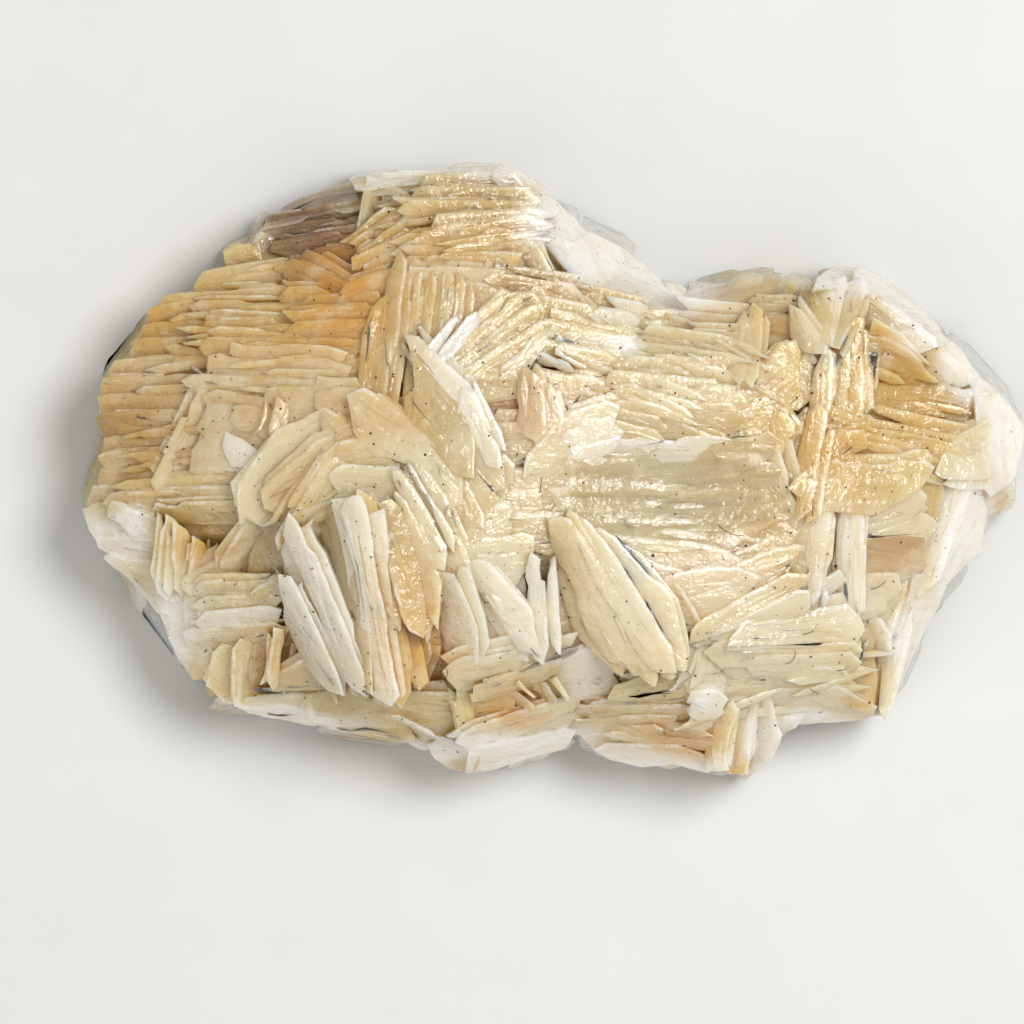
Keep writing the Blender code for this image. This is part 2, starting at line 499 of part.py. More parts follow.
def hide_helpers(collection):
    for obj in collection.objects:
        obj.hide_render = True
        obj.display_type = "WIRE"


def fill_sealed_hollows(mesh):
    """Keeps the outer skin alone, so the small pockets closed in between blades become solid."""
    bm = bmesh.new()
    bm.from_mesh(mesh)
    left = set(bm.faces)
    skins = []
    while left:
        skin, edge_of = [], [left.pop()]
        while edge_of:
            face = edge_of.pop()
            skin.append(face)
            for near in {other for edge in face.edges for other in edge.link_faces} & left:
                left.discard(near)
                edge_of.append(near)
        skins.append(skin)
    skins.sort(key=len)
    pockets = [face for skin in skins[:-1] for face in skin]
    bmesh.ops.delete(bm, geom=pockets, context="FACES")
    bm.to_mesh(mesh)
    bm.free()


def fuse(base, blades, cutter):
    """Joins the base and every blade into one solid, trims it at the floor and centres it on its footprint."""
    join = base.modifiers.new("grown_together", "BOOLEAN")
    join.operation = "UNION"
    join.solver = "EXACT"
    join.operand_type = "COLLECTION"
    join.collection = blades
    trim = base.modifiers.new("flat_underside", "BOOLEAN")
    trim.operation = "DIFFERENCE"
    trim.solver = "EXACT"
    trim.object = cutter
    bpy.context.view_layer.update()
    graph = bpy.context.evaluated_depsgraph_get()
    fused = bpy.data.meshes.new_from_object(base.evaluated_get(graph))
    base.modifiers.clear()
    fill_sealed_hollows(fused)
    base.data = fused
    xs = [v.co.x for v in fused.vertices]
    ys = [v.co.y for v in fused.vertices]
    fused.transform(Matrix.Translation((-(min(xs) + max(xs)) / 2, -(min(ys) + max(ys)) / 2, 0.0)))


def main():
    clear_scene()
    cluster = new_collection("barite crystal cluster")
    blades = new_collection("crystal blades")
    cutters = new_collection("cutters")
    add_crown_blades(blades)
    add_side_blades(blades)
    add_lumps(blades)
    base = base_solid(cluster)
    cutter = floor_cutter(cutters)
    hide_helpers(blades)
    hide_helpers(cutters)
    fuse(base, blades, cutter)
    base.data.materials.clear()
    base.data.materials.append(barite_material())


main()
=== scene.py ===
"""Looks of the barite crystal cluster: sheaves of thin milky blades on a pale massive base.

Lengths in the tables are millimetres, with X along the cluster, Y across it and Z up, as in the solid model.
"""

import json
import math
import random
from collections import namedtuple

import bpy
import numpy as np
from mathutils import Matrix, Vector, noise
from mathutils.bvhtree import BVHTree

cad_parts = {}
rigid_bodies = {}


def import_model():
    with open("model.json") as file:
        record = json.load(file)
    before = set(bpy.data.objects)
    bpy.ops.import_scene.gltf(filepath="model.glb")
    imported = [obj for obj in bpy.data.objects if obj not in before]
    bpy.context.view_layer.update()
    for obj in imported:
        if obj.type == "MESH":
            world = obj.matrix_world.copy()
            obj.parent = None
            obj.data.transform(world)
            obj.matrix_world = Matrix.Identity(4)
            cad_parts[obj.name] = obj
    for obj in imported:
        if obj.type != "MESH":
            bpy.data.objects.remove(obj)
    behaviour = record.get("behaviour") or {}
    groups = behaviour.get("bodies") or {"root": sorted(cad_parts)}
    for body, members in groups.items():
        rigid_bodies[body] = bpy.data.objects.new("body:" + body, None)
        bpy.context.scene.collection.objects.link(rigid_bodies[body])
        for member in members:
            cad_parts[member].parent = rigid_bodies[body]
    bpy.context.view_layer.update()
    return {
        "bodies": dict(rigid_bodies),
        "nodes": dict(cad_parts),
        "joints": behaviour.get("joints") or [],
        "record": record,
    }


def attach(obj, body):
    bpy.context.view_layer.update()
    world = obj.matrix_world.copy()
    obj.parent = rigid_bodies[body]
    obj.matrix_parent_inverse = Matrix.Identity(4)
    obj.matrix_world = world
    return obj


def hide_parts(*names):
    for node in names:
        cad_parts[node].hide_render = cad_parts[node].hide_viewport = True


MM = 0.001

# Driving dimensions, in millimetres, the same as the solid model's
RIM_HEIGHT = 15.0
CROWN_HEIGHT = 36.0
CROWN_POWER = 2.6
WIDE_SEGMENTS = 8
NARROW_SEGMENTS = 6
NARROW_WIDTH = 9.5
CHISEL_SHARE = 0.8
SEED = 11

# The solid model is centred on its footprint: how far that moves it from the tables
CENTRING = (-0.21, 0.19)

# How far a plate's plan is bent towards a box, below 1: along it and across it
TABLET_POWERS = (0.5, 0.6)

# The plan outline of the widest level of the base, anticlockwise from the right-hand tip
OUTLINE = [
    (60.1, 5.5), (57.2, 9.6), (54.0, 12.2), (51.8, 15.4), (47.0, 20.2), (41.5, 25.0), (39.0, 26.1),
    (36.3, 26.4), (34.0, 24.9), (32.8, 24.2), (30.0, 25.2), (27.5, 25.5), (24.0, 24.6), (19.0, 23.8),
    (17.0, 23.0), (14.0, 24.7), (12.8, 24.4), (11.0, 26.6), (8.0, 28.6), (5.0, 30.2), (1.0, 33.4),
    (-1.5, 36.4), (-4.0, 38.1), (-7.0, 39.1), (-12.5, 39.2), (-13.4, 38.4), (-20.5, 38.5), (-26.0, 37.2),
    (-27.0, 36.3), (-32.7, 34.9), (-37.2, 31.9), (-39.0, 28.6), (-40.7, 29.2), (-41.8, 28.3),
    (-41.8, 26.0), (-43.2, 24.6), (-44.4, 25.1), (-45.6, 23.3), (-50.0, 21.6), (-51.5, 19.7),
    (-54.3, 14.4), (-56.3, 12.9), (-58.5, 7.3), (-57.9, 4.5), (-58.5, 1.6), (-57.5, 0.0), (-60.1, -5.0),
    (-58.7, -10.0), (-52.8, -14.5), (-49.0, -21.5), (-47.6, -23.2), (-46.0, -26.0), (-43.5, -28.5),
    (-39.5, -30.6), (-32.0, -32.1), (-22.0, -33.8), (-17.0, -35.0), (-12.0, -38.4), (-9.0, -38.5),
    (-1.0, -36.0), (1.3, -35.3), (3.0, -33.4), (8.0, -36.7), (11.0, -37.6), (15.0, -37.3), (23.0, -39.3),
    (25.4, -38.6), (28.4, -34.0), (32.5, -32.1), (42.0, -31.7), (43.7, -28.4), (46.0, -22.5),
    (50.0, -14.9), (54.3, -10.6), (56.9, -5.4), (58.8, -1.0),
]

# Levels of the base: height and share of the outline, then over the rim, share and depth below the crests
BASE_LEVELS = [(0.0, 0.915), (2.5, 0.95), (5.5, 0.98), (8.5, 0.992), (11.0, 0.992)]
TOP_LEVELS = [
    (0.97, 1.9), (0.92, 2.3), (0.86, 2.7), (0.78, 3.0), (0.66, 3.2),
    (0.5, 3.4), (0.34, 3.4), (0.17, 3.4), (0.0, 3.4),
]
BASE_ROUGHNESS = 0.9

# Hollows and ridges of the crest surface: x, y, radius along x, radius along y, height change
RELIEF = [
    (15.0, -2.5, 14.0, 7.5, -5.5),
    (44.0, 9.0, 7.0, 5.0, -4.0),
    (46.0, 17.0, 12.0, 6.0, 6.0),
    (-42.0, -9.0, 4.0, 4.0, -3.0),
    (-31.0, 30.0, 7.0, 5.0, -3.0),
    (-10.0, 31.0, 12.0, 8.0, 4.0),
    (-23.0, -14.0, 12.0, 12.0, 3.0),
    (6.0, -32.0, 9.0, 6.0, -3.0),
]

# Rounded lumps of the far side: x, y, z and the three radii
LUMPS = [
    (14.6, 21.4, 10.0, 3.4, 3.2, 5.5),
    (19.6, 20.6, 11.0, 4.2, 3.4, 5.0),
    (25.4, 21.4, 11.5, 4.4, 4.2, 6.0),
    (30.6, 20.8, 12.5, 4.2, 4.4, 6.5),
]

# Round hollow: its middle and radii, then its rings as share of the radii, height over the crown, and frost
HOLLOW = (14.8, -3.3, 14.6, 6.6)
HOLLOW_RINGS = [
    (0.99, -6.0, 0.2), (1.05, 0.1, 0.3), (1.03, 0.4, 0.5), (0.97, 0.62, 0.6), (0.89, 0.6, 0.45),
    (0.8, 0.45, 0.2), (0.7, 0.35, 0.05), (0.6, 0.3, 0.0), (0.49, 0.3, 0.0), (0.38, 0.3, 0.0),
    (0.26, 0.3, 0.0), (0.13, 0.3, 0.0),
]
HOLLOW_SIDES = 72

# Zones where the crystals lie almost flush: x, y, radius along x, radius along y
FLUSH = [(-42.0, 15.0, 20.0, 14.0), (-8.0, 32.0, 16.0, 6.0), (17.0, 10.0, 12.0, 8.0), (43.0, 8.0, 9.0, 8.0)]
FLUSH_SHARE = 0.6

# Runs of long strands: middle, spread along and across the run, heading in degrees, count, and tones
STRANDS = [
    (-41.0, 18.5, 11.0, 8.5, 2.0, 70, ("lemon", "cream", "sand", "honey")),
    (-51.5, 3.0, 3.5, 7.0, 4.0, 20, ("lemon", "sand", "tan")),
    (-8.0, 32.5, 8.0, 4.5, 8.0, 28, ("cream", "sand", "lemon")),
    (15.0, 12.5, 9.0, 6.0, -19.0, 44, ("cream", "pale", "lemon", "greyed")),
    (44.0, 6.0, 6.0, 6.0, -12.0, 18, ("lemon", "honey", "cream")),
    (28.0, -25.0, 9.0, 6.0, 10.0, 28, ("cream", "pale", "lemon")),
    (8.0, -33.0, 8.0, 3.0, -8.0, 14, ("cream", "sand", "pale")),
    (-24.0, 2.0, 7.0, 5.0, 30.0, 14, ("cream", "pale", "sand")),
]
STRAND_HALF = (2.5, 8.0)
STRAND_THIN = (0.3, 0.75)
STRAND_PLAN = ((-0.7, 1.0), (0.6, 0.9), (1.0, 0.1), (0.5, -0.9), (-0.75, -0.8), (-1.0, 0.2))
STRAND_THICK = 2.2

# Body tones of the crystals, 0 to 255. The glint tone is no body tone but a painted highlight in near-pure
# white.
TONES = {
    "white": (238, 236, 229), "glint": (253, 253, 251), "pale": (226, 219, 200), "cream": (219, 206, 172),
    "pinkish": (215, 196, 168), "sand": (205, 187, 144), "greyed": (198, 188, 164), "olive": (193, 178, 130),
    "lemon": (232, 219, 170), "honey": (214, 180, 110), "amber": (200, 154, 64), "orange": (212, 154, 58),
    "caramel": (176, 126, 54), "tan": (176, 146, 98), "brown": (150, 114, 84), "umber": (138, 100, 54),
}
TONE_NAMES = list(TONES)

# Visible crystal faces: tone, lift over the crown surface, steepness, then the plan outline. The first two
# points are the raised crest, and the face falls away from it. A few faces are painted shadow or shade, or a
# painted highlight, each marked where it stands.
FACES = [
    # Left shoulder, long plates stepping down towards the front
    ("sand", -0.6, 1.0, [(-41.8, 28.0), (-38.8, 28.4), (-37.6, 26.4), (-41.7, 25.8)]),
    ("cream", 0.2, 0.8, [
        (-44.4, 25.0), (-34.5, 26.5), (-32.8, 24.6), (-34.0, 22.6), (-45.8, 22.4), (-45.6, 23.4),
    ]),
    ("cream", 0.4, 0.7, [(-49.4, 21.9), (-33.6, 22.9), (-32.8, 20.8), (-45.5, 20.2), (-51.0, 20.6)]),
    ("amber", 0.0, 0.8, [(-51.2, 20.5), (-46.2, 21.3), (-43.6, 18.8), (-44.0, 18.1), (-52.0, 18.2)]),
    ("cream", 0.5, 0.7, [(-46.2, 21.1), (-33.0, 21.0), (-32.2, 18.4), (-43.8, 18.4)]),
    ("amber", 0.1, 0.8, [(-52.2, 18.3), (-43.8, 18.5), (-43.6, 16.2), (-53.2, 16.2)]),
    ("sand", 0.6, 0.8, [(-44.0, 18.6), (-32.0, 18.4), (-31.8, 16.0), (-43.8, 16.2)]),
    ("amber", 0.1, 0.8, [(-53.2, 16.3), (-43.6, 16.4), (-43.2, 14.0), (-54.6, 14.0)]),
    ("sand", 0.5, 0.8, [(-43.8, 16.3), (-31.6, 16.0), (-30.2, 13.8), (-43.4, 14.0)]),
    ("cream", 1.0, 0.9, [(-55.8, 13.6), (-43.2, 14.3), (-42.0, 11.2), (-57.4, 11.4)]),
    ("pale", 1.2, 0.9, [(-43.4, 14.3), (-28.8, 13.4), (-27.6, 10.4), (-36.0, 11.0), (-42.2, 11.2)]),
    ("honey", 0.4, 0.7, [(-57.4, 11.6), (-46.0, 11.6), (-44.8, 9.6), (-45.6, 9.0), (-58.0, 9.0)]),
    ("pale", 1.2, 0.8, [(-47.0, 11.6), (-28.0, 10.8), (-24.0, 9.7), (-36.0, 9.5), (-44.6, 9.5)]),
    ("honey", 0.2, 0.7, [(-58.0, 9.2), (-45.6, 9.2), (-46.6, 6.9), (-58.2, 6.8)]),
    ("umber", -0.2, 0.7, [(-58.2, 6.9), (-46.6, 7.0), (-48.2, 3.9), (-54.5, 3.9), (-57.4, 4.2)]),
    ("sand", 0.6, 0.9, [(-57.4, 4.2), (-48.2, 4.0), (-49.6, 1.7), (-57.8, 1.8)]),
    ("sand", 0.4, 0.9, [(-58.0, 1.9), (-49.4, 2.0), (-50.2, -0.5), (-57.2, 0.0)]),
    ("honey", 0.4, 0.9, [(-57.4, -0.1), (-50.0, -0.3), (-49.8, -2.9), (-54.5, -2.8), (-58.4, -2.2)]),
    ("sand", 0.2, 0.9, [(-58.6, -2.2), (-54.8, -2.8), (-56.0, -4.4), (-59.6, -5.0)]),
    ("pale", 0.9, 1.0, [(-56.0, -4.3), (-50.0, -6.4), (-49.8, -8.6), (-53.5, -8.5), (-55.8, -6.6)]),
    ("greyed", 0.0, 1.0, [(-59.8, -5.0), (-56.0, -4.4), (-55.6, -6.8), (-53.6, -8.6), (-58.6, -8.8)]),
    ("sand", -0.2, 1.0, [(-58.6, -8.6), (-49.9, -8.7), (-50.0, -12.3), (-55.2, -11.6), (-58.4, -9.9)]),
    ("pale", -0.4, 1.2, [(-57.4, -10.8), (-50.0, -12.2), (-49.8, -18.8), (-51.0, -17.2), (-53.4, -13.9)]),
    # Left flank: slab, stepped tablet, flat pinkish shelf
    ("pale", 1.4, 0.9, [(-50.5, -1.4), (-44.3, 10.0), (-42.5, 9.2), (-44.4, 4.2), (-46.2, -0.9)]),
    # Painted shadow: this pinkish strip stands where shade falls beside the tablet.
    ("pinkish", 0.6, 0.7, [(-42.8, 9.6), (-35.0, 8.4), (-35.3, 6.9), (-40.2, 7.6), (-43.6, 8.2)]),
    ("pale", 1.0, 0.8, [
        (-43.8, 8.2), (-40.0, 7.7), (-41.6, 4.6), (-40.0, 2.2), (-42.0, 0.0), (-46.2, -0.2), (-44.4, 4.4),
    ]),
    ("pinkish", 0.8, 0.9, [
        (-40.2, 7.8), (-35.4, 6.9), (-35.0, 4.2), (-36.4, 3.4), (-37.4, 5.2), (-39.8, 5.4),
    ]),
    ("sand", -2.2, 0.6, [(-40.0, 5.8), (-36.4, 5.6), (-36.2, 3.0), (-38.2, 2.4), (-39.8, 3.6)]),
    ("white", 0.4, 0.8, [(-41.7, 4.8), (-39.6, 3.8), (-37.6, 2.4), (-35.9, 2.3), (-37.4, 0.0), (-40.8, 1.0)]),
    ("pinkish", -0.6, 0.5, [(-50.2, -1.1), (-37.6, 0.2), (-39.7, -2.6), (-50.0, -3.0)]),
    ("pinkish", -0.8, 0.5, [(-55.2, -2.8), (-39.5, -2.5), (-38.8, -4.7), (-50.0, -4.8), (-56.2, -4.3)]),
    ("olive", -0.8, 0.6, [
        (-50.2, -4.6), (-38.7, -4.5), (-38.2, -6.0), (-47.8, -6.0), (-50.0, -7.8), (-50.4, -6.4),
    ]),
    ("amber", -3.2, 0.7, [
        (-47.6, -5.6), (-38.0, -5.6), (-40.4, -10.4), (-41.2, -11.2), (-44.4, -12.2), (-45.4, -8.6),
    ]),
    ("lemon", 1.8, 1.2, [(-50.0, -14.4), (-48.8, -5.5), (-47.9, -7.0), (-48.1, -14.8)]),
    ("lemon", 1.6, 1.2, [(-48.1, -15.0), (-47.5, -6.4), (-46.2, -8.6), (-45.8, -13.0), (-46.6, -14.6)]),
    ("honey", 1.0, 1.2, [(-46.0, -13.0), (-45.5, -8.2), (-44.6, -9.4), (-44.2, -12.2)]),
    ("cream", 1.0, 0.8, [(-46.2, -13.2), (-41.3, -11.0), (-42.0, -14.5), (-46.4, -15.8)]),
    ("pale", 1.4, 0.9, [(-41.5, -11.3), (-37.5, -5.5), (-36.4, -8.2), (-38.6, -14.0), (-42.2, -14.5)]),
    ("pale", 2.2, 0.9, [
        (-39.9, -3.0), (-34.5, 4.7), (-28.5, 7.4), (-28.0, 3.2), (-31.0, -1.6), (-34.2, -6.4),
        (-38.4, -5.7),
    ]),
    ("cream", 1.8, 1.2, [(-36.4, -2.6), (-29.4, 3.4), (-28.4, 1.8), (-31.0, -2.0), (-34.0, -5.6)]),
    ("honey", 0.8, 1.0, [(-34.0, -7.8), (-28.4, 1.6), (-27.6, 1.2), (-30.0, -3.8), (-33.0, -8.4)]),
    # Painted shadow: a sunk tan triangle where shade falls beside the fin.
    ("tan", -2.4, 0.7, [
        (-37.4, -5.6), (-34.2, -6.8), (-33.4, -8.4), (-34.0, -13.9), (-38.6, -14.2), (-36.6, -8.2),
    ]),
    ("honey", 1.6, 1.2, [(-35.5, 3.8), (-34.2, 9.2), (-33.4, 7.0), (-34.6, 4.4)]),
    # Arched blade and its neighbours
    ("greyed", 1.4, 0.8, [
        (-36.0, 9.9), (-29.0, 9.9), (-28.4, 6.4), (-30.5, 6.1), (-33.8, 4.9), (-34.6, 7.0),
    ]),
    ("pinkish", 1.8, 0.9, [(-29.4, 10.0), (-23.7, 9.9), (-24.7, 4.8), (-27.3, 6.0), (-28.6, 6.4)]),
    ("pale", 2.2, 0.9, [(-23.9, 9.9), (-16.1, 4.3), (-17.4, 0.7), (-20.6, 2.0), (-22.2, 2.1), (-24.9, 4.8)]),
    ("pale", 2.0, 0.9, [(-16.3, 4.3), (-11.9, -0.1), (-13.2, -4.5), (-15.4, -3.4), (-17.2, 0.3)]),
    ("pinkish", 1.6, 0.9, [
        (-12.1, 0.0), (-9.4, -5.7), (-10.2, -6.6), (-11.5, -9.5), (-12.2, -6.8), (-13.5, -4.4),
    ]),
    ("tan", -2.0, 0.6, [(-21.8, 2.3), (-17.0, 1.0), (-17.0, -0.5), (-18.4, -1.5), (-20.2, 0.4)]),
    ("sand", 0.8, 0.8, [(-28.6, 7.4), (-25.0, 4.4), (-24.8, 3.0), (-27.4, 2.4), (-28.6, 3.6)]),
    ("cream", 1.2, 0.8, [
        (-28.6, 2.6), (-23.4, 3.6), (-20.3, -0.1), (-23.5, -0.7), (-25.9, 0.0), (-28.0, 0.2),
    ]),
    ("pale", 1.4, 0.7, [
        (-26.2, 0.2), (-20.0, -0.1), (-18.6, -2.2), (-18.5, -4.4), (-26.0, -4.0), (-28.0, -1.8),
    ]),
    ("cream", 1.2, 0.8, [(-32.2, -5.6), (-28.1, 0.9), (-26.1, 0.0), (-27.0, -3.8), (-30.2, -7.4)]),
    ("greyed", 1.0, 0.6, [(-27.0, -3.6), (-22.6, -3.4), (-21.2, -6.2), (-24.6, -6.4), (-27.2, -6.0)]),
    # Fins of the lower left, standing on edge
    ("white", 3.0, 1.6, [(-33.6, -13.7), (-27.9, -25.9), (-29.2, -26.6), (-33.2, -18.2), (-34.3, -14.4)]),
    ("caramel", -2.6, 0.8, [(-31.9, -11.6), (-26.0, -26.0), (-27.9, -26.4), (-33.4, -13.8), (-34.0, -9.8)]),
    ("white", 3.2, 1.6, [
        (-31.8, -7.5), (-24.6, -25.8), (-26.0, -26.2), (-29.4, -17.6), (-31.9, -12.0), (-33.7, -7.9),
    ]),
    ("greyed", 0.6, 1.0, [
        (-27.0, -4.6), (-23.8, -21.0), (-23.5, -28.2), (-24.9, -26.0), (-28.0, -17.0), (-31.4, -7.6),
    ]),
    ("white", 3.0, 1.3, [
        (-24.3, -3.6), (-20.2, -28.4), (-22.9, -28.0), (-23.9, -19.0), (-24.6, -12.0), (-26.8, -5.0),
    ]),
    ("honey", 2.4, 1.0, [
        (-24.3, -3.8), (-20.3, -28.2), (-18.0, -28.0), (-18.6, -20.0), (-20.4, -12.0), (-22.4, -4.2),
    ]),
    ("sand", 1.8, 0.9, [(-22.2, -4.4), (-18.3, -18.6), (-16.4, -17.6), (-17.6, -10.0), (-19.6, -4.8)]),
    ("amber", -1.8, 0.8, [(-18.6, -18.2), (-15.6, -17.6), (-14.7, -21.8), (-16.3, -23.0), (-18.2, -21.0)]),
    ("amber", -2.6, 0.6, [
        (-16.6, -22.6), (-14.2, -21.8), (-13.2, -25.4), (-12.7, -28.7), (-18.0, -28.0), (-18.2, -27.0),
    ]),
    ("lemon", -0.6, 1.0, [(-18.2, -27.4), (-15.9, -22.9), (-17.0, -21.4), (-18.6, -20.4)]),
    ("pale", 2.2, 1.2, [(-20.1, 0.2), (-14.0, -9.8), (-15.4, -11.2), (-18.9, -4.0)]),
    ("cream", 1.2, 0.8, [
        (-18.8, -4.2), (-14.2, -14.4), (-14.5, -20.0), (-16.2, -17.0), (-17.6, -10.6), (-19.8, -4.8),
    ]),
    ("pale", 1.2, 0.8, [
        (-17.3, 0.5), (-13.4, -4.4), (-12.6, -7.8), (-13.4, -9.4), (-15.4, -6.0), (-18.3, -2.0),
    ]),
    ("cream", 1.4, 1.0, [(-13.7, -4.4), (-11.2, -10.2), (-11.0, -12.8), (-12.9, -13.9), (-14.4, -9.6)]),
    ("white", 3.0, 1.2, [
        (-13.1, -13.4), (-10.4, -19.8), (-10.0, -23.8), (-12.0, -28.2), (-13.8, -23.8), (-14.4, -19.6),
        (-14.3, -14.0),
    ]),
    ("lemon", 1.6, 1.2, [(-12.4, -27.0), (-11.2, -34.4), (-10.2, -33.6), (-10.5, -28.2)]),
    ("honey", -1.4, 0.9, [(-13.6, -28.6), (-12.3, -28.8), (-11.3, -34.2), (-13.2, -34.6)]),
    ("pinkish", -0.6, 0.7, [
        (-11.0, -12.6), (-4.2, -22.9), (-6.4, -23.8), (-9.8, -23.9), (-10.3, -19.6), (-10.7, -15.6),
    ]),
    ("white", 2.4, 0.9, [
        (-8.6, -12.0), (-3.5, -17.8), (-2.1, -22.0), (-4.5, -22.5), (-7.4, -18.0), (-10.5, -13.6),
        (-11.4, -11.4),
    ]),
    ("pale", 1.2, 0.7, [
        (-9.5, -5.6), (-6.4, -3.9), (-6.0, -6.2), (-5.8, -7.9), (-8.6, -8.9), (-11.6, -9.6),
        (-10.5, -6.6),
    ]),
    ("pale", 1.0, 0.6, [
        (-11.5, -9.6), (-4.0, -8.4), (-3.6, -12.0), (-5.4, -14.3), (-8.2, -12.2), (-11.3, -11.5),
    ]),
    # Painted shadow: a sunk tan triangle for the shaded pocket beside the white plate.
    ("tan", -2.4, 0.8, [(-5.7, -14.2), (-3.6, -12.0), (-3.5, -17.8)]),
    ("white", 2.6, 1.6, [(-2.2, -12.2), (-1.5, -22.0), (-2.6, -22.6), (-3.7, -17.8), (-3.4, -12.2)]),
    # Painted shadow: a sunk tan face for the shaded area beside the striped leaf.
    ("tan", -2.4, 0.6, [
        (-2.2, -10.2), (0.6, -9.8), (1.9, -14.0), (4.4, -20.0), (2.4, -21.0), (-1.5, -21.8),
        (-2.1, -16.0),
    ]),
    # Broken, sparkling plates of the lower left corner
    ("cream", 1.2, 0.8, [(-44.4, -14.5), (-34.3, -13.9), (-36.2, -15.6), (-40.0, -16.2), (-44.2, -16.4)]),
    ("cream", 0.9, 0.8, [(-44.4, -16.2), (-35.8, -15.8), (-36.1, -17.9), (-43.9, -18.5)]),
    ("white", 1.0, 0.8, [(-44.0, -18.5), (-36.0, -17.7), (-36.2, -19.9), (-43.8, -20.6)]),
    ("pinkish", 0.6, 0.8, [(-47.0, -20.6), (-35.5, -19.8), (-36.0, -21.7), (-44.0, -22.5), (-46.8, -22.2)]),
    ("sand", 0.2, 0.8, [(-46.6, -15.7), (-44.0, -16.2), (-43.7, -20.6), (-46.4, -20.8)]),
    ("greyed", 0.2, 0.9, [(-49.9, -14.8), (-46.5, -15.7), (-46.3, -20.6), (-49.2, -21.2), (-50.2, -18.8)]),
    ("greyed", -0.2, 1.0, [
        (-49.0, -21.2), (-46.3, -20.6), (-44.0, -22.5), (-43.8, -26.0), (-46.2, -26.2), (-47.8, -23.4),
    ]),
    ("lemon", 0.4, 1.0, [(-44.2, -27.4), (-42.9, -23.2), (-40.1, -22.6), (-40.3, -29.4), (-42.2, -29.2)]),
    ("cream", 0.6, 1.0, [(-40.4, -29.6), (-40.2, -22.6), (-37.9, -22.2), (-37.8, -27.8), (-38.4, -30.4)]),
    ("amber", -1.6, 0.8, [(-38.1, -27.8), (-38.0, -22.2), (-35.7, -21.6), (-35.8, -28.0)]),
    ("pale", 1.4, 2.0, [(-35.9, -27.8), (-34.9, -19.8), (-34.3, -20.2), (-34.9, -26.2)]),
    ("caramel", -3.0, 0.7, [
        (-36.2, -17.4), (-34.1, -13.9), (-33.2, -17.8), (-30.8, -23.9), (-34.9, -26.0), (-34.6, -20.0),
    ]),
    ("sand", 0.4, 0.8, [(-38.0, -15.6), (-34.2, -13.8), (-35.6, -17.4)]),
    ("pinkish", 0.0, 0.7, [(-35.0, -26.1), (-30.8, -23.9), (-28.8, -26.2), (-26.8, -27.4), (-35.4, -27.7)]),
    ("caramel", -1.8, 0.8, [(-35.6, -27.7), (-26.6, -27.3), (-25.8, -28.2), (-31.0, -29.1), (-35.8, -29.8)]),
    ("pale", 0.6, 1.1, [(-40.2, -29.6), (-31.0, -29.0), (-30.6, -32.2), (-39.2, -30.6)]),
    ("sand", 0.6, 1.1, [
        (-31.2, -29.0), (-25.2, -28.4), (-21.4, -30.9), (-17.6, -34.7), (-22.4, -33.7), (-30.8, -32.2),
    ]),
    ("sand", -0.6, 0.8, [(-27.0, -25.9), (-23.2, -27.9), (-22.2, -28.7), (-26.0, -28.6)]),
    # Front edge, left to right
    ("cream", 0.6, 0.8, [(-22.6, -28.5), (-13.0, -28.7), (-13.4, -31.5), (-18.4, -31.6), (-21.6, -30.8)]),
    ("sand", 0.4, 0.8, [(-18.6, -31.2), (-13.3, -31.2), (-13.1, -34.2), (-16.4, -33.8)]),
    ("white", 1.0, 1.1, [
        (-22.0, -30.6), (-16.2, -33.6), (-13.0, -34.4), (-12.6, -35.6), (-15.4, -35.6), (-18.6, -34.2),
    ]),
    ("greyed", 0.2, 1.3, [(-15.8, -35.0), (-11.0, -34.2), (-10.4, -38.2), (-12.8, -37.8), (-15.2, -36.4)]),
    ("pale", 1.8, 1.0, [
        (-11.6, -24.1), (3.0, -20.9), (0.2, -22.8), (-2.0, -24.7), (-8.0, -25.9), (-12.4, -27.3),
    ]),
    ("cream", 1.2, 1.1, [
        (-10.6, -28.4), (-1.0, -24.8), (-0.2, -25.6), (-3.0, -26.7), (-5.8, -28.0), (-10.5, -29.0),
    ]),
    ("honey", -1.6, 0.7, [(-10.6, -28.8), (-6.2, -27.9), (-5.9, -30.9), (-9.6, -32.7), (-10.5, -31.2)]),
    ("amber", -2.2, 0.7, [
        (-6.1, -27.9), (-2.6, -26.4), (-1.6, -27.4), (-0.4, -29.1), (-3.0, -30.3), (-6.2, -30.9),
    ]),
    ("lemon", -0.4, 0.8, [(-2.6, -26.6), (-0.7, -25.2), (0.4, -27.4), (-1.0, -28.6)]),
    ("lemon", 0.2, 2.0, [(-2.4, -26.2), (-0.2, -29.4), (-0.6, -29.6), (-3.0, -26.6)]),
    ("lemon", 0.0, 2.0, [(-5.8, -27.8), (-3.0, -30.4), (-3.4, -30.6), (-6.3, -28.2)]),
    ("pale", 1.0, 0.9, [
        (-9.9, -32.7), (3.5, -28.7), (2.0, -31.9), (1.4, -33.0), (-4.0, -34.2), (-10.6, -35.6),
    ]),
    ("white", 0.4, 1.4, [
        (-10.8, -35.4), (1.4, -32.9), (2.6, -33.6), (1.2, -35.2), (-3.0, -36.3), (-8.0, -37.9),
        (-11.4, -38.2),
    ]),
    ("white", 1.4, 0.8, [
        (1.0, -24.5), (4.9, -22.5), (6.1, -23.8), (7.8, -26.0), (7.2, -28.3), (3.2, -28.9), (-0.4, -27.4),
        (-0.6, -24.6),
    ]),
    ("umber", -1.2, 0.6, [(0.1, -23.0), (1.3, -22.1), (2.3, -23.4), (1.0, -24.5)]),
    ("tan", -1.4, 0.6, [(1.2, -22.2), (5.6, -20.7), (5.0, -22.6), (2.3, -23.5)]),
    ("tan", -2.2, 0.7, [(5.6, -22.2), (10.8, -25.5), (8.8, -27.6), (7.6, -28.8), (7.8, -26.0), (5.6, -24.0)]),
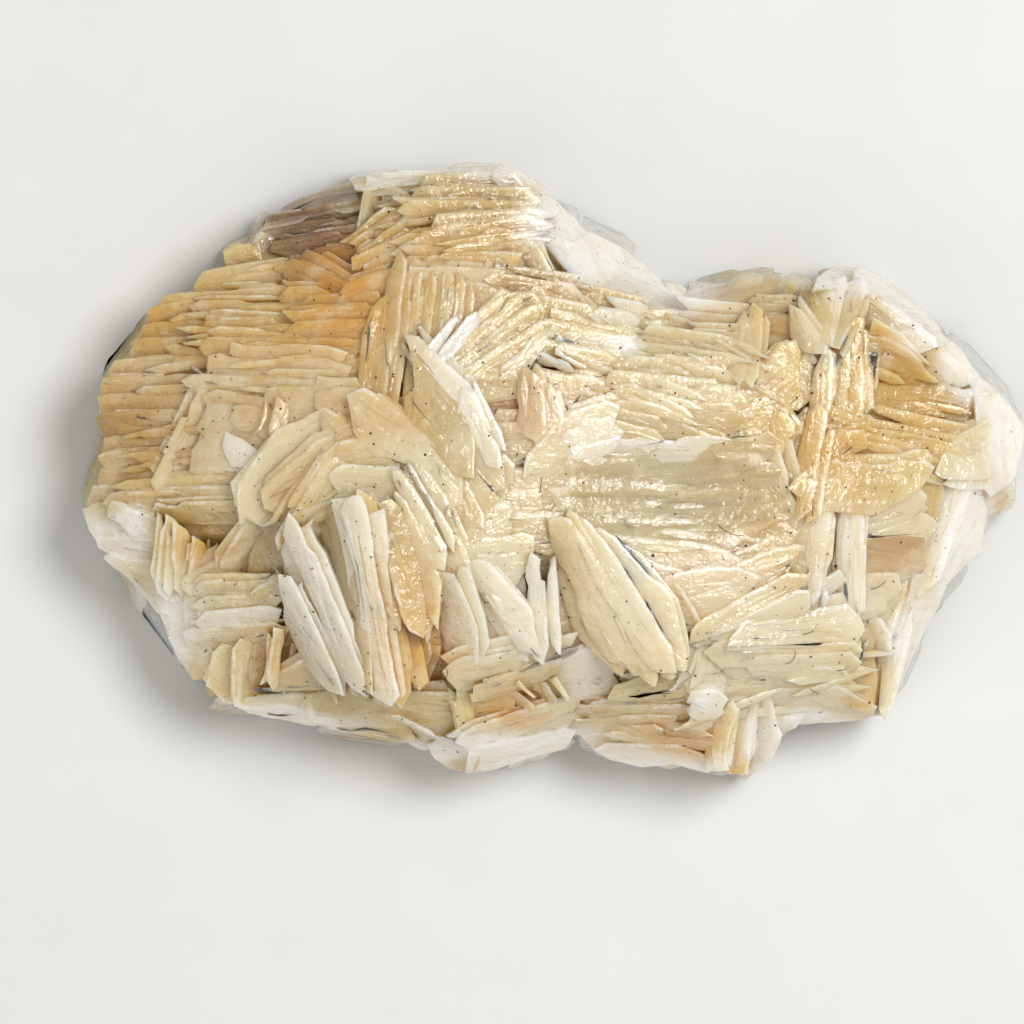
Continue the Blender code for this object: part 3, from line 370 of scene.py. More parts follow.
    ("caramel", -2.0, 0.8, [(3.2, -28.7), (6.4, -28.1), (5.0, -30.1), (1.9, -31.8), (3.2, -29.9)]),
    ("cream", 0.6, 0.9, [(8.0, -27.6), (15.0, -25.6), (17.3, -27.2), (15.8, -28.3), (8.4, -28.9)]),
    ("pinkish", 0.5, 0.9, [(6.0, -29.6), (16.8, -28.1), (17.2, -29.4), (15.4, -30.4), (5.2, -30.9)]),
    ("pinkish", 0.3, 0.9, [(4.4, -31.0), (15.8, -30.2), (15.2, -31.8), (10.6, -32.1), (3.6, -32.0)]),
    ("cream", 0.6, 0.9, [(1.8, -31.9), (15.6, -31.6), (14.0, -32.9), (8.0, -33.2), (2.4, -33.4)]),
    ("honey", -0.8, 0.8, [
        (11.6, -34.0), (20.4, -31.4), (20.4, -33.2), (19.6, -37.0), (15.6, -35.7), (11.2, -34.9),
    ]),
    ("cream", 0.6, 0.9, [(3.2, -33.3), (14.0, -32.9), (11.6, -34.7), (9.6, -35.5), (5.4, -35.5)]),
    ("white", 0.4, 1.2, [
        (5.4, -35.4), (15.6, -35.5), (19.4, -36.8), (20.8, -38.4), (15.2, -37.1), (11.2, -37.5),
        (7.4, -36.6),
    ]),
    # Lower middle: upright stack, white slab and crust
    ("white", 1.2, 1.0, [
        (26.9, -28.4), (28.4, -33.8), (27.4, -36.6), (25.6, -38.4), (24.0, -38.8), (24.7, -33.0),
        (25.4, -29.2),
    ]),
    ("honey", 0.6, 1.0, [(25.2, -28.2), (24.2, -38.7), (21.6, -38.0), (22.5, -29.6)]),
    ("lemon", 1.2, 1.0, [(22.7, -29.2), (21.6, -38.0), (19.4, -37.6), (20.2, -31.4)]),
    ("cream", 1.2, 0.9, [
        (20.9, -26.0), (27.2, -25.6), (27.4, -28.3), (24.8, -28.6), (22.6, -29.6), (20.6, -29.8),
    ]),
    ("pale", 2.0, 0.9, [
        (17.3, -26.2), (19.5, -20.2), (22.4, -19.4), (22.0, -22.4), (20.4, -25.2), (18.6, -26.4),
    ]),
    ("greyed", 1.2, 0.8, [(17.5, -26.0), (21.0, -25.8), (21.0, -28.5), (17.4, -28.5)]),
    ("white", 1.2, 0.8, [
        (17.5, -28.3), (20.8, -28.3), (21.0, -30.0), (20.2, -31.4), (18.0, -31.4), (17.5, -29.4),
    ]),
    ("honey", -2.4, 0.7, [
        (16.2, -23.0), (18.6, -20.4), (17.8, -23.8), (17.3, -27.1), (14.2, -26.6), (15.0, -24.6),
    ]),
    # Large striped leaf of the middle
    ("cream", 2.0, 0.8, [
        (1.5, -6.6), (12.1, -24.3), (10.8, -26.0), (7.2, -23.8), (4.4, -20.2), (2.4, -14.8), (-0.1, -9.4),
    ]),
    ("pale", 2.6, 0.8, [(4.4, -7.0), (13.9, -22.2), (12.1, -24.6), (9.8, -20.8), (6.0, -15.0), (1.4, -6.6)]),
    ("pale", 3.0, 0.8, [
        (8.2, -9.5), (14.2, -16.2), (15.0, -19.2), (16.2, -23.9), (13.8, -24.2), (13.4, -20.0),
        (9.3, -12.4), (4.2, -7.0),
    ]),
    ("pinkish", 1.4, 0.8, [
        (14.2, -13.8), (16.8, -17.6), (18.4, -20.6), (18.0, -22.2), (16.2, -24.2), (15.4, -20.0),
        (14.4, -16.6),
    ]),
    ("pinkish", 1.0, 0.6, [
        (14.3, -13.7), (22.8, -12.2), (24.8, -14.2), (21.6, -17.2), (18.4, -19.4), (16.2, -17.0),
    ]),
    ("tan", -1.4, 0.7, [(14.4, -14.0), (17.8, -13.8), (16.2, -17.2)]),
    # Long steps of the lower right
    ("cream", 1.4, 0.7, [(21.0, -13.0), (30.2, -9.4), (29.4, -12.0), (28.0, -14.6), (23.0, -16.6)]),
    ("cream", 1.4, 0.7, [(18.3, -19.4), (29.6, -13.4), (30.0, -15.6), (24.0, -19.4), (19.2, -20.8)]),
    ("pale", 1.4, 0.8, [(20.2, -20.6), (30.8, -15.6), (31.6, -17.6), (26.0, -19.4), (21.8, -21.8)]),
    ("pale", 1.8, 0.7, [(24.4, -19.2), (37.0, -17.5), (38.2, -22.0), (30.0, -22.0), (21.6, -22.2)]),
    ("cream", 1.4, 0.7, [(21.6, -21.9), (38.1, -21.8), (37.6, -23.8), (30.0, -24.1), (20.8, -24.4)]),
    ("honey", 0.4, 0.9, [(20.1, -24.7), (27.4, -23.7), (26.0, -25.2), (21.6, -26.2), (19.8, -25.8)]),
    ("pinkish", 1.2, 0.8, [(25.6, -24.0), (37.5, -23.6), (37.0, -25.6), (30.0, -25.5), (25.0, -25.6)]),
    ("pinkish", 1.2, 0.8, [
        (24.0, -25.7), (36.5, -25.3), (38.6, -27.4), (35.8, -28.2), (27.2, -28.2), (26.8, -26.8),
    ]),
    ("pale", 0.8, 1.0, [
        (26.6, -28.3), (36.0, -27.8), (38.6, -29.4), (39.6, -31.4), (32.4, -31.9), (27.2, -31.9),
    ]),
    ("pale", 0.2, 1.2, [(27.4, -31.6), (32.0, -31.9), (29.6, -33.0), (28.4, -34.2)]),
    ("honey", -1.8, 0.8, [
        (38.3, -18.8), (40.5, -18.6), (40.4, -24.0), (40.4, -30.6), (38.0, -29.8), (36.2, -28.2),
        (38.0, -25.6), (38.2, -22.0),
    ]),
    ("lemon", 1.0, 1.6, [(38.3, -21.8), (37.5, -25.8), (36.8, -25.6), (37.4, -22.0)]),
    # Upper crown: needle, wedge and long curved plates
    ("cream", 0.8, 1.0, [(-24.5, 30.0), (-23.2, 37.6), (-22.4, 37.0), (-22.8, 30.2)]),
    ("pale", 0.8, 0.8, [(-22.6, 36.9), (-19.8, 35.3), (-16.6, 33.3), (-19.6, 33.5), (-22.0, 33.4)]),
    ("umber", -1.6, 0.6, [(-22.6, 33.8), (-19.4, 33.6), (-19.2, 32.6), (-22.2, 31.2)]),
    ("cream", 0.6, 0.8, [(-21.8, 37.6), (-13.4, 37.3), (-13.0, 35.6), (-16.2, 34.8), (-20.4, 35.8)]),
    ("pale", 0.4, 1.0, [(-14.4, 37.3), (-25.4, 36.4), (-25.6, 37.4), (-20.4, 38.4), (-13.8, 38.3)]),
    ("greyed", 0.4, 1.0, [(-6.6, 37.2), (-14.0, 37.1), (-13.5, 38.4), (-12.4, 39.1), (-6.8, 39.0)]),
    ("pinkish", 1.0, 0.8, [(-16.0, 37.0), (-5.0, 37.4), (-3.6, 35.0), (-8.0, 34.8), (-15.8, 35.2)]),
    ("sand", 1.0, 0.8, [(-16.4, 35.4), (-3.6, 35.2), (-3.0, 33.2), (-8.0, 33.2), (-17.0, 33.4)]),
    ("olive", 0.8, 0.8, [(-17.6, 33.6), (-3.2, 33.4), (-3.2, 31.4), (-9.0, 31.8), (-18.6, 31.8)]),
    ("caramel", 0.0, 0.8, [(-18.9, 32.4), (-9.6, 32.0), (-12.6, 30.8), (-17.2, 30.2)]),
    ("sand", 1.2, 0.8, [(-16.6, 30.0), (-3.4, 31.8), (-2.4, 29.6), (-8.0, 28.4), (-15.8, 28.2)]),
    ("sand", 1.0, 0.8, [(-18.2, 28.6), (-4.4, 28.6), (-4.4, 26.8), (-9.0, 26.6), (-17.8, 26.6)]),
    ("honey", 0.8, 0.8, [(-18.2, 26.8), (-6.4, 26.8), (-6.8, 25.4), (-15.8, 25.2), (-18.2, 25.6)]),
    ("caramel", -0.8, 0.7, [(-16.2, 25.8), (-6.4, 25.7), (-6.8, 24.4), (-11.4, 24.6), (-15.0, 24.8)]),
    ("honey", 0.6, 1.0, [(-24.4, 29.2), (-19.2, 32.9), (-18.6, 32.1), (-24.0, 27.9)]),
    ("pinkish", 0.8, 1.0, [(-24.2, 28.0), (-18.2, 32.0), (-17.4, 30.8), (-23.6, 26.4)]),
    ("honey", 1.0, 0.9, [(-24.0, 26.5), (-17.0, 30.7), (-18.0, 28.2), (-20.6, 25.8), (-23.6, 25.2)]),
    ("honey", 1.0, 0.8, [(-23.6, 25.6), (-18.2, 28.2), (-18.0, 25.8), (-20.0, 24.6), (-22.6, 24.2)]),
    ("white", 0.6, 1.2, [(-1.8, 31.0), (-7.8, 37.2), (-6.8, 38.9), (-4.2, 38.0), (-1.6, 36.3), (0.8, 33.4)]),
    ("pale", 1.0, 1.2, [(-6.9, 23.6), (-6.6, 26.6), (-5.5, 26.2), (-5.0, 23.6)]),
    ("pale", 1.2, 1.2, [(-2.8, 28.4), (0.4, 22.7), (-1.4, 23.0), (-4.1, 27.8)]),
    ("tan", -1.4, 0.7, [(-5.6, 27.8), (-4.0, 28.0), (-1.6, 23.2), (-5.2, 23.6)]),
    ("sand", 0.4, 0.8, [(-2.8, 30.4), (1.4, 28.2), (2.2, 24.6), (1.7, 22.9), (0.2, 23.0), (-2.8, 28.2)]),
    # The smooth white slope down to the notch
    ("white", 0.6, 1.3, [(2.4, 25.2), (-2.2, 31.4), (0.9, 33.3), (5.0, 30.1), (5.4, 27.2)]),
    ("white", 0.6, 1.2, [(4.2, 21.9), (1.8, 26.2), (4.8, 30.2), (8.4, 28.4), (9.4, 24.0)]),
    ("white", 0.6, 1.1, [(12.0, 20.0), (3.8, 22.3), (8.6, 28.5), (11.0, 26.5), (14.2, 23.6), (17.4, 19.9)]),
    # Brown broken patch and orange lamellae
    ("brown", -0.4, 0.8, [(-37.0, 32.2), (-24.9, 33.9), (-24.6, 31.8), (-37.2, 30.4)]),
    ("umber", -0.4, 0.8, [(-37.4, 30.6), (-24.6, 32.0), (-24.4, 29.8), (-35.4, 28.4)]),
    ("brown", -0.4, 0.8, [(-35.6, 28.8), (-24.4, 30.2), (-24.0, 27.8), (-31.4, 27.0), (-33.8, 27.2)]),
    ("brown", -0.4, 0.8, [(-31.4, 27.6), (-24.0, 28.2), (-23.6, 25.6), (-25.4, 23.8), (-28.6, 26.0)]),
    ("greyed", 0.0, 1.2, [
        (-24.6, 34.0), (-37.2, 31.6), (-38.2, 30.4), (-36.4, 32.6), (-32.6, 34.7), (-25.4, 37.0),
    ]),
    ("pale", 0.2, 0.8, [
        (-38.8, 28.6), (-37.2, 30.4), (-34.0, 27.4), (-31.2, 27.6), (-31.6, 26.4), (-36.6, 26.4),
    ]),
    ("orange", 0.8, 1.0, [(-31.4, 27.6), (-25.2, 23.8), (-25.6, 22.8), (-28.6, 24.4), (-31.8, 26.2)]),
    ("amber", 0.0, 0.9, [(-33.2, 26.4), (-25.8, 22.9), (-27.8, 21.6), (-33.6, 22.2), (-34.2, 24.4)]),
    ("amber", 0.2, 0.8, [(-33.8, 22.4), (-26.6, 22.0), (-25.6, 20.2), (-33.0, 19.8)]),
    ("orange", 0.8, 0.8, [(-26.0, 23.2), (-20.2, 24.9), (-21.6, 22.0), (-23.4, 20.0), (-26.4, 20.6)]),
    ("amber", 0.2, 0.8, [(-33.0, 20.2), (-23.0, 20.4), (-23.4, 18.0), (-32.4, 17.8)]),
    ("amber", 0.0, 0.8, [(-32.4, 18.2), (-23.4, 18.4), (-23.8, 15.6), (-31.8, 16.0)]),
    ("orange", 0.2, 0.8, [(-32.0, 16.2), (-23.8, 15.8), (-24.4, 13.0), (-28.4, 12.8), (-30.2, 14.0)]),
    ("sand", 0.2, 0.8, [(-29.2, 13.2), (-23.6, 13.8), (-24.0, 9.8), (-28.0, 10.4)]),
    # Tall lamellae and the striped stack
    ("honey", 1.0, 1.0, [(-22.2, 10.0), (-20.8, 22.0), (-22.6, 20.6), (-23.8, 17.0), (-24.4, 10.0)]),
    ("cream", 1.8, 1.0, [(-21.4, 8.8), (-19.3, 25.0), (-20.6, 24.6), (-21.4, 20.6), (-22.8, 9.8)]),
    ("honey", 1.4, 1.0, [(-20.4, 8.2), (-18.2, 24.0), (-19.4, 25.0), (-21.4, 9.0)]),
    ("amber", -1.8, 0.8, [(-20.6, 7.6), (-18.6, 17.0), (-17.2, 13.0), (-16.8, 9.0), (-17.8, 5.6)]),
    ("cream", 1.4, 1.0, [(-18.0, 17.0), (-17.2, 24.8), (-18.8, 24.4), (-19.2, 17.4)]),
    ("honey", 1.2, 1.0, [(-16.3, 15.6), (-15.5, 24.2), (-17.4, 24.6), (-18.0, 16.4)]),
    ("cream", 1.4, 1.0, [(-14.5, 14.6), (-13.4, 23.8), (-15.5, 24.4), (-16.3, 15.2)]),
    ("honey", 1.2, 1.0, [(-12.7, 15.4), (-11.9, 23.2), (-13.5, 24.0), (-14.5, 14.8)]),
    ("pinkish", 1.0, 0.8, [(-11.9, 23.6), (-7.6, 22.6), (-8.4, 20.4), (-10.2, 18.4), (-12.5, 18.4)]),
    ("pale", 1.0, 0.8, [(-18.2, 25.4), (-8.4, 24.7), (-7.8, 23.4), (-17.6, 23.6)]),
    # Painted highlight: a narrow rod in near-pure white where a glint shows.
    ("glint", 2.6, 1.4, [(-14.0, 14.4), (-10.4, 18.8), (-9.8, 18.0), (-12.4, 14.2)]),
    ("sand", 1.2, 1.0, [(-10.2, 18.4), (-6.2, 22.4), (-5.4, 20.6), (-9.0, 16.8)]),
    ("lemon", 1.4, 1.0, [(-12.4, 14.4), (-5.4, 20.8), (-4.4, 19.4), (-11.6, 12.8)]),
    ("cream", 1.4, 1.0, [(-11.8, 13.0), (-3.8, 19.6), (-2.6, 18.6), (-10.8, 11.6)]),
    ("cream", 1.4, 1.0, [(-10.8, 12.2), (-1.4, 18.4), (-1.8, 16.4), (-6.0, 12.8), (-10.2, 11.4)]),
    ("pale", 1.2, 1.0, [(-6.4, 12.8), (-0.6, 17.6), (-1.2, 15.6), (-3.8, 12.0)]),
    ("cream", 0.8, 0.8, [(-5.8, 22.0), (-2.6, 21.8), (-1.8, 18.8), (-4.8, 19.4)]),
    # The big speckled leaf
    ("white", 3.4, 1.0, [(-18.4, 17.0), (-11.0, 10.1), (-11.8, 7.6), (-14.6, 10.9), (-17.6, 14.4)]),
    ("white", 3.6, 1.0, [(-11.3, 10.3), (-7.8, 3.0), (-6.9, 0.0), (-8.6, 0.6), (-11.9, 7.6)]),
    ("olive", 3.0, 0.8, [
        (-17.8, 14.6), (-11.7, 7.9), (-10.4, 3.4), (-12.0, -0.4), (-16.2, 4.0), (-18.3, 6.0),
        (-17.4, 10.0),
    ]),
    ("cream", 2.8, 0.8, [(-10.5, 4.4), (-7.0, 0.2), (-7.8, -2.4), (-9.4, -5.4), (-12.0, -0.4)]),
    # Upper middle: smooth band, long plates and white crust
    ("tan", 0.8, 0.8, [(-8.6, 24.3), (2.2, 22.8), (4.2, 20.4), (-1.4, 21.4), (-5.8, 21.8)]),
    ("honey", 1.0, 0.8, [(1.8, 22.8), (11.0, 20.3), (10.2, 19.3), (6.4, 19.0), (3.4, 20.0)]),
    ("cream", 1.0, 0.7, [(-3.0, 21.6), (4.2, 20.2), (8.8, 16.2), (2.6, 16.6), (-1.8, 18.6)]),
    ("white", 1.2, 0.8, [(4.4, 19.8), (9.4, 19.4), (9.7, 17.6), (9.8, 15.8), (8.0, 16.0)]),
    ("pinkish", 0.4, 0.7, [(10.2, 19.8), (14.2, 19.5), (14.2, 18.0), (9.8, 18.0)]),
    ("cream", 0.8, 0.7, [(9.4, 18.3), (16.2, 18.4), (16.4, 16.8), (12.0, 16.4), (9.6, 16.2)]),
    ("greyed", 0.4, 0.7, [(13.4, 19.8), (24.2, 18.9), (23.6, 16.8), (16.0, 16.8)]),
    ("sand", 0.6, 0.6, [(9.8, 16.6), (21.0, 15.0), (22.4, 12.4), (14.0, 12.3), (10.0, 14.2)]),
    ("cream", 0.6, 0.7, [(16.0, 17.2), (23.4, 16.8), (23.2, 14.6), (21.4, 14.0), (17.4, 15.4)]),
    ("cream", 1.0, 0.6, [(-2.0, 18.6), (9.2, 16.2), (10.0, 12.2), (6.6, 13.8), (-0.8, 15.6)]),
    ("cream", 0.8, 0.7, [(-2.0, 15.9), (6.6, 14.4), (10.6, 11.8), (8.0, 10.6), (4.0, 12.6), (-1.0, 14.2)]),
    ("white", 1.4, 1.6, [(-2.4, 14.8), (2.4, 12.2), (1.2, 12.2), (-2.0, 14.0)]),
    ("honey", 0.4, 0.7, [
        (-2.8, 12.8), (6.2, 11.0), (7.6, 9.6), (5.6, 8.0), (2.2, 7.4), (0.5, 6.0), (-0.9, 9.8),
    ]),
    ("pinkish", 0.8, 0.6, [(9.6, 12.5), (22.8, 12.4), (23.0, 9.7), (8.2, 9.7)]),
    ("greyed", 0.6, 0.6, [(8.0, 10.2), (22.8, 10.0), (22.2, 7.4), (10.0, 6.8), (7.2, 8.0)]),
    ("sand", 0.4, 0.6, [(7.0, 8.2), (22.2, 7.7), (22.8, 5.2), (19.0, 4.0), (13.0, 4.4), (8.0, 5.8)]),
    # Painted shade: this olive face stands for a shaded strip.
    ("olive", -0.2, 0.7, [(7.2, 7.2), (12.8, 6.0), (12.9, 4.4), (12.0, 4.0), (7.8, 5.8)]),
    ("lemon", 1.0, 1.0, [(24.8, 12.0), (25.8, 20.2), (24.2, 19.4), (23.5, 13.6), (24.0, 10.6)]),
    ("cream", 0.6, 1.0, [(23.5, 12.0), (24.2, 19.0), (22.6, 18.0), (22.0, 13.0)]),
    ("tan", -2.4, 0.6, [(25.8, 19.2), (30.4, 19.0), (30.2, 15.2), (27.4, 14.2), (26.4, 16.2)]),
    ("greyed", -0.4, 0.8, [(25.8, 20.6), (30.6, 20.6), (30.8, 18.4), (26.0, 18.8)]),
    ("sand", -0.6, 0.8, [(24.2, 12.4), (27.2, 14.6), (29.0, 15.4), (24.0, 10.4)]),
    # Pinkish tablets, the orange pocket and the shelf beside them
    ("cream", 0.6, 0.8, [(-11.2, 12.0), (-4.0, 12.4), (-4.6, 9.4), (-9.6, 8.4), (-10.8, 9.8)]),
    ("orange", -1.8, 0.8, [(-9.8, 8.9), (-4.9, 9.6), (-4.6, 5.8), (-7.8, 4.8), (-9.4, 6.0)]),
    ("pinkish", 0.6, 0.7, [
        (-7.6, 5.6), (-2.6, 5.8), (-2.0, 4.4), (-3.4, 1.2), (-6.0, -0.2), (-7.0, 0.2), (-7.9, 3.2),
    ]),
    ("pinkish", 2.0, 0.9, [(-2.2, 11.7), (-1.8, 4.8), (-4.7, 5.6), (-4.2, 11.4)]),
    ("pale", 1.6, 0.9, [(-0.8, 10.2), (0.6, 6.2), (-0.6, 4.7), (-2.0, 4.8), (-2.4, 11.0)]),
    ("sand", 0.2, 0.5, [(-7.0, -0.2), (-2.8, -0.2), (-2.0, -5.8), (-5.6, -6.1), (-6.8, -4.0), (-8.1, -2.4)]),
    ("white", 0.9, 1.0, [(-7.3, -4.4), (-5.7, -4.5), (-5.7, -6.3), (-7.1, -5.7)]),
    ("sand", 0.4, 0.6, [(-6.0, -5.9), (-3.2, -5.7), (-3.4, -8.7), (-6.0, -7.9)]),
    ("greyed", 0.6, 0.6, [
        (-3.2, -5.6), (1.6, -5.8), (0.4, -8.8), (-1.0, -10.4), (-2.4, -10.2), (-3.2, -8.2),
    ]),
    # Rim of the round hollow, its floor in flat layers, and the pale plate in front
    ("white", 1.8, 0.8, [(0.4, 6.3), (6.8, 8.3), (7.4, 5.8), (7.0, 2.6), (3.0, 1.0), (2.2, 3.2)]),
    ("pale", 1.8, 0.8, [(-3.3, 1.8), (0.8, 6.4), (2.6, 3.4), (3.0, 0.9), (0.6, -0.2), (-3.0, -0.6)]),
    ("sand", 0.6, 0.5, [(-3.3, -0.4), (3.2, 0.6), (2.4, -4.0), (1.8, -6.0), (-2.0, -5.8)]),
    ("white", 1.8, 0.9, [(7.0, 3.6), (20.8, 3.6), (20.8, 1.4), (12.0, 1.2), (7.2, 1.6)]),
    ("cream", 1.0, 0.8, [(7.0, 6.0), (12.4, 4.4), (12.2, 3.2), (7.4, 3.2)]),
    ("greyed", 0.9, 0.6, [(20.6, 3.8), (26.8, 4.4), (27.8, 2.2), (26.2, 0.8), (20.6, 1.2)]),
    ("greyed", -0.2, 0.1, [(6.4, 1.9), (25.4, 1.6), (27.4, 0.2), (27.8, -1.2), (2.4, -1.0), (4.0, 0.8)]),
    ("greyed", -0.3, 0.1, [(2.6, -0.8), (27.8, -1.0), (28.2, -3.4), (2.0, -3.2)]),
    ("greyed", 0.0, 0.1, [(2.0, -2.8), (28.2, -3.2), (28.8, -5.2), (2.4, -5.0)]),
    ("greyed", 0.2, 0.1, [(2.4, -4.6), (28.6, -5.0), (29.0, -7.4), (4.0, -7.0)]),
    ("sand", 0.5, 0.1, [(3.6, -6.6), (20.8, -6.8), (18.6, -9.0), (11.0, -9.6), (6.4, -8.6)]),
    ("pale", 1.2, 0.6, [
        (6.2, -8.4), (17.0, -9.6), (21.2, -10.4), (22.6, -12.4), (14.4, -14.0), (11.0, -12.4),
    ]),
    ("greyed", 0.6, 0.5, [(20.6, -6.8), (29.0, -7.0), (29.4, -9.8), (24.0, -10.8), (18.8, -9.2)]),
    ("pale", 1.6, 1.2, [(28.0, 2.6), (30.0, -5.4), (29.6, -10.0), (28.4, -5.4), (26.4, 0.8)]),
    # Cream leaves, brown pocket and the fan under the apex
    ("lemon", 2.2, 0.8, [
        (23.8, 10.4), (28.8, 15.6), (30.5, 13.8), (30.4, 9.4), (28.4, 8.0), (25.8, 8.0), (23.3, 8.6),
    ]),
    ("lemon", 1.8, 0.8, [(23.3, 8.8), (28.8, 8.6), (27.6, 4.4), (24.6, 4.0), (22.9, 5.8)]),
    ("lemon", 2.0, 0.9, [(27.9, 8.4), (29.5, 5.6), (28.6, 4.0), (27.6, 2.4), (26.8, 4.0)]),
    ("brown", -2.8, 0.6, [(30.6, 12.6), (32.9, 12.6), (32.2, 7.6), (30.0, 8.0), (30.3, 10.0)]),
    ("tan", -1.0, 0.8, [(30.5, 15.4), (34.0, 15.6), (33.0, 12.2), (30.4, 12.4)]),
    ("pale", 1.6, 1.0, [(30.0, 20.9), (34.0, 15.4), (31.4, 15.2), (30.0, 17.0)]),
    # Painted shade: the olive strip of the fan is a shaded one.
    ("olive", 1.0, 1.0, [(32.4, 22.6), (34.2, 15.8), (33.4, 15.8), (30.4, 20.4)]),
    ("cream", 2.2, 1.0, [(34.8, 23.8), (34.4, 15.8), (33.9, 16.4), (32.2, 22.4)]),
    ("pale", 2.6, 1.0, [(36.9, 24.6), (34.8, 15.8), (34.4, 16.2), (34.7, 23.6)]),
    ("cream", 2.4, 1.0, [(38.9, 22.8), (35.2, 15.6), (34.7, 16.0), (36.9, 23.8)]),
    ("white", 2.0, 1.2, [(38.6, 22.6), (36.6, 23.8), (32.6, 23.4), (33.8, 24.4), (36.4, 26.2), (38.8, 25.8)]),
    ("honey", 1.6, 0.9, [(38.8, 18.8), (38.5, 7.8), (36.4, 7.8), (35.4, 15.6), (36.6, 17.8)]),
    ("lemon", 1.8, 0.9, [(36.5, 15.8), (36.5, 7.8), (34.3, 7.8), (34.4, 15.8)]),
    ("pale", 2.2, 1.0, [(34.5, 15.8), (34.0, 7.8), (32.3, 7.6), (33.0, 12.6)]),
    # Right wing: white outer ridge and amber inside
    ("white", 0.6, 1.2, [(47.8, 16.2), (38.4, 24.8), (38.9, 26.0), (41.5, 24.8), (47.0, 20.0), (50.4, 16.5)]),
    ("white", 0.6, 1.2, [(56.8, 8.6), (47.4, 16.6), (50.2, 16.6), (51.8, 15.2), (54.0, 12.0), (57.3, 9.3)]),
    ("pinkish", 1.8, 0.7, [(38.2, 23.2), (47.8, 16.3), (44.2, 14.8), (40.2, 16.2), (38.6, 18.8)]),
    ("cream", 1.0, 0.7, [(47.4, 16.4), (53.4, 11.2), (48.6, 11.0), (43.4, 14.6)]),
    ("honey", 0.2, 0.8, [(40.0, 16.6), (44.2, 14.9), (48.8, 11.0), (45.0, 11.8), (40.2, 11.8)]),
    ("tan", -0.4, 0.8, [(38.5, 17.0), (40.6, 16.6), (40.3, 10.2), (38.5, 10.2)]),
    ("amber", -1.2, 0.7, [(40.4, 14.4), (45.4, 12.2), (45.0, 9.7), (40.0, 10.0)]),
    ("honey", 0.4, 0.4, [(38.6, 10.4), (46.8, 10.9), (46.8, 5.4), (43.0, 5.0), (38.2, 6.4)]),
    ("cream", 0.6, 0.4, [(46.4, 11.2), (56.6, 9.4), (55.6, 6.2), (52.4, 4.0), (46.4, 5.2)]),
    ("white", 0.2, 1.2, [(54.2, 9.6), (54.8, -0.8), (58.6, -0.8), (59.9, 4.6), (59.8, 5.8), (57.2, 9.3)]),
    ("cream", 1.4, 0.9, [(38.0, 6.3), (52.8, 3.6), (52.0, 1.8), (44.0, 3.2), (39.2, 4.4)]),
    ("honey", 1.0, 0.6, [(38.4, 4.6), (52.2, 2.2), (48.6, 0.2), (40.0, 0.4), (35.8, 1.4)]),
    ("lemon", 1.2, 0.8, [(33.4, 7.9), (38.6, 6.2), (38.9, 4.3), (33.8, 3.6)]),
    ("honey", 1.2, 0.7, [(33.4, 4.0), (39.0, 4.5), (37.0, 1.4), (33.6, -0.2)]),
    ("honey", 2.0, 1.0, [(33.6, 7.2), (31.5, -4.8), (30.0, -4.6), (30.6, 0.8), (32.2, 7.4)]),
    ("tan", -1.6, 0.7, [(31.9, 7.8), (30.2, -1.8), (28.7, -1.0), (27.9, 2.4), (29.4, 5.4)]),
    ("pale", 0.8, 0.6, [(51.8, 4.2), (55.4, 6.2), (55.2, -0.9), (49.0, -0.9), (49.0, 1.0)]),
    # Right wing: broad smooth plates, bars and their pocket
    ("cream", 1.6, 0.5, [(33.3, 0.7), (46.8, 0.7), (45.4, -2.6), (40.4, -5.2), (33.6, -4.8), (31.6, -3.6)]),
    ("pale", 1.4, 0.5, [(37.9, -4.8), (45.6, -2.4), (45.2, -5.6), (47.6, -6.0), (46.6, -9.6), (38.0, -8.6)]),
    ("honey", 0.2, 0.6, [(46.2, 0.8), (49.0, 0.4), (48.4, -4.2), (47.8, -6.1), (45.0, -5.6), (45.2, -2.4)]),
    ("caramel", 0.0, 0.5, [(38.0, -8.3), (46.8, -9.2), (44.0, -13.6), (40.0, -14.0), (38.4, -12.6)]),
    ("pale", 1.0, 0.7, [(38.2, -13.6), (43.6, -13.6), (42.0, -16.2), (40.4, -18.2), (38.2, -18.8)]),
    ("honey", -0.4, 0.9, [(44.6, -12.8), (42.4, -20.8), (40.4, -18.0), (42.4, -14.0)]),
    ("pale", 0.6, 0.8, [(40.2, -18.2), (42.4, -21.2), (41.8, -31.4), (40.2, -31.0)]),
    ("white", 2.8, 1.0, [(38.3, -5.2), (38.3, -21.0), (36.8, -18.8), (35.9, -13.0), (36.1, -5.6)]),
    ("white", 2.4, 1.0, [(34.2, -4.4), (33.1, -15.6), (31.9, -16.0), (32.1, -8.0), (32.0, -3.8)]),
    ("caramel", -2.4, 0.6, [(33.8, -5.6), (36.3, -5.8), (36.2, -13.2), (34.0, -14.4), (33.2, -13.4)]),
    ("white", 1.4, 1.0, [(32.3, -15.4), (36.3, -13.0), (36.4, -14.8), (32.9, -16.6)]),
    ("tan", -1.0, 0.8, [(31.2, -16.6), (36.4, -15.2), (36.0, -17.6), (31.6, -18.4)]),
    ("pale", 1.2, 0.8, [(29.6, -4.4), (32.2, -5.0), (32.0, -16.2), (30.6, -13.8), (29.4, -9.4)]),
    ("sand", 0.4, 0.7, [(28.2, -10.4), (30.8, -12.4), (31.8, -16.6), (29.6, -16.2), (27.8, -14.6)]),
    # The massive white right-hand edge
    ("pale", 1.2, 0.8, [
        (48.4, -13.6), (52.8, -0.6), (48.9, -0.6), (48.2, -5.0), (46.8, -9.2), (45.4, -13.0),
    ]),
    ("white", 1.0, 1.2, [(53.6, -0.8), (48.2, -13.8), (50.2, -14.6), (54.2, -10.6), (55.0, -5.2)]),
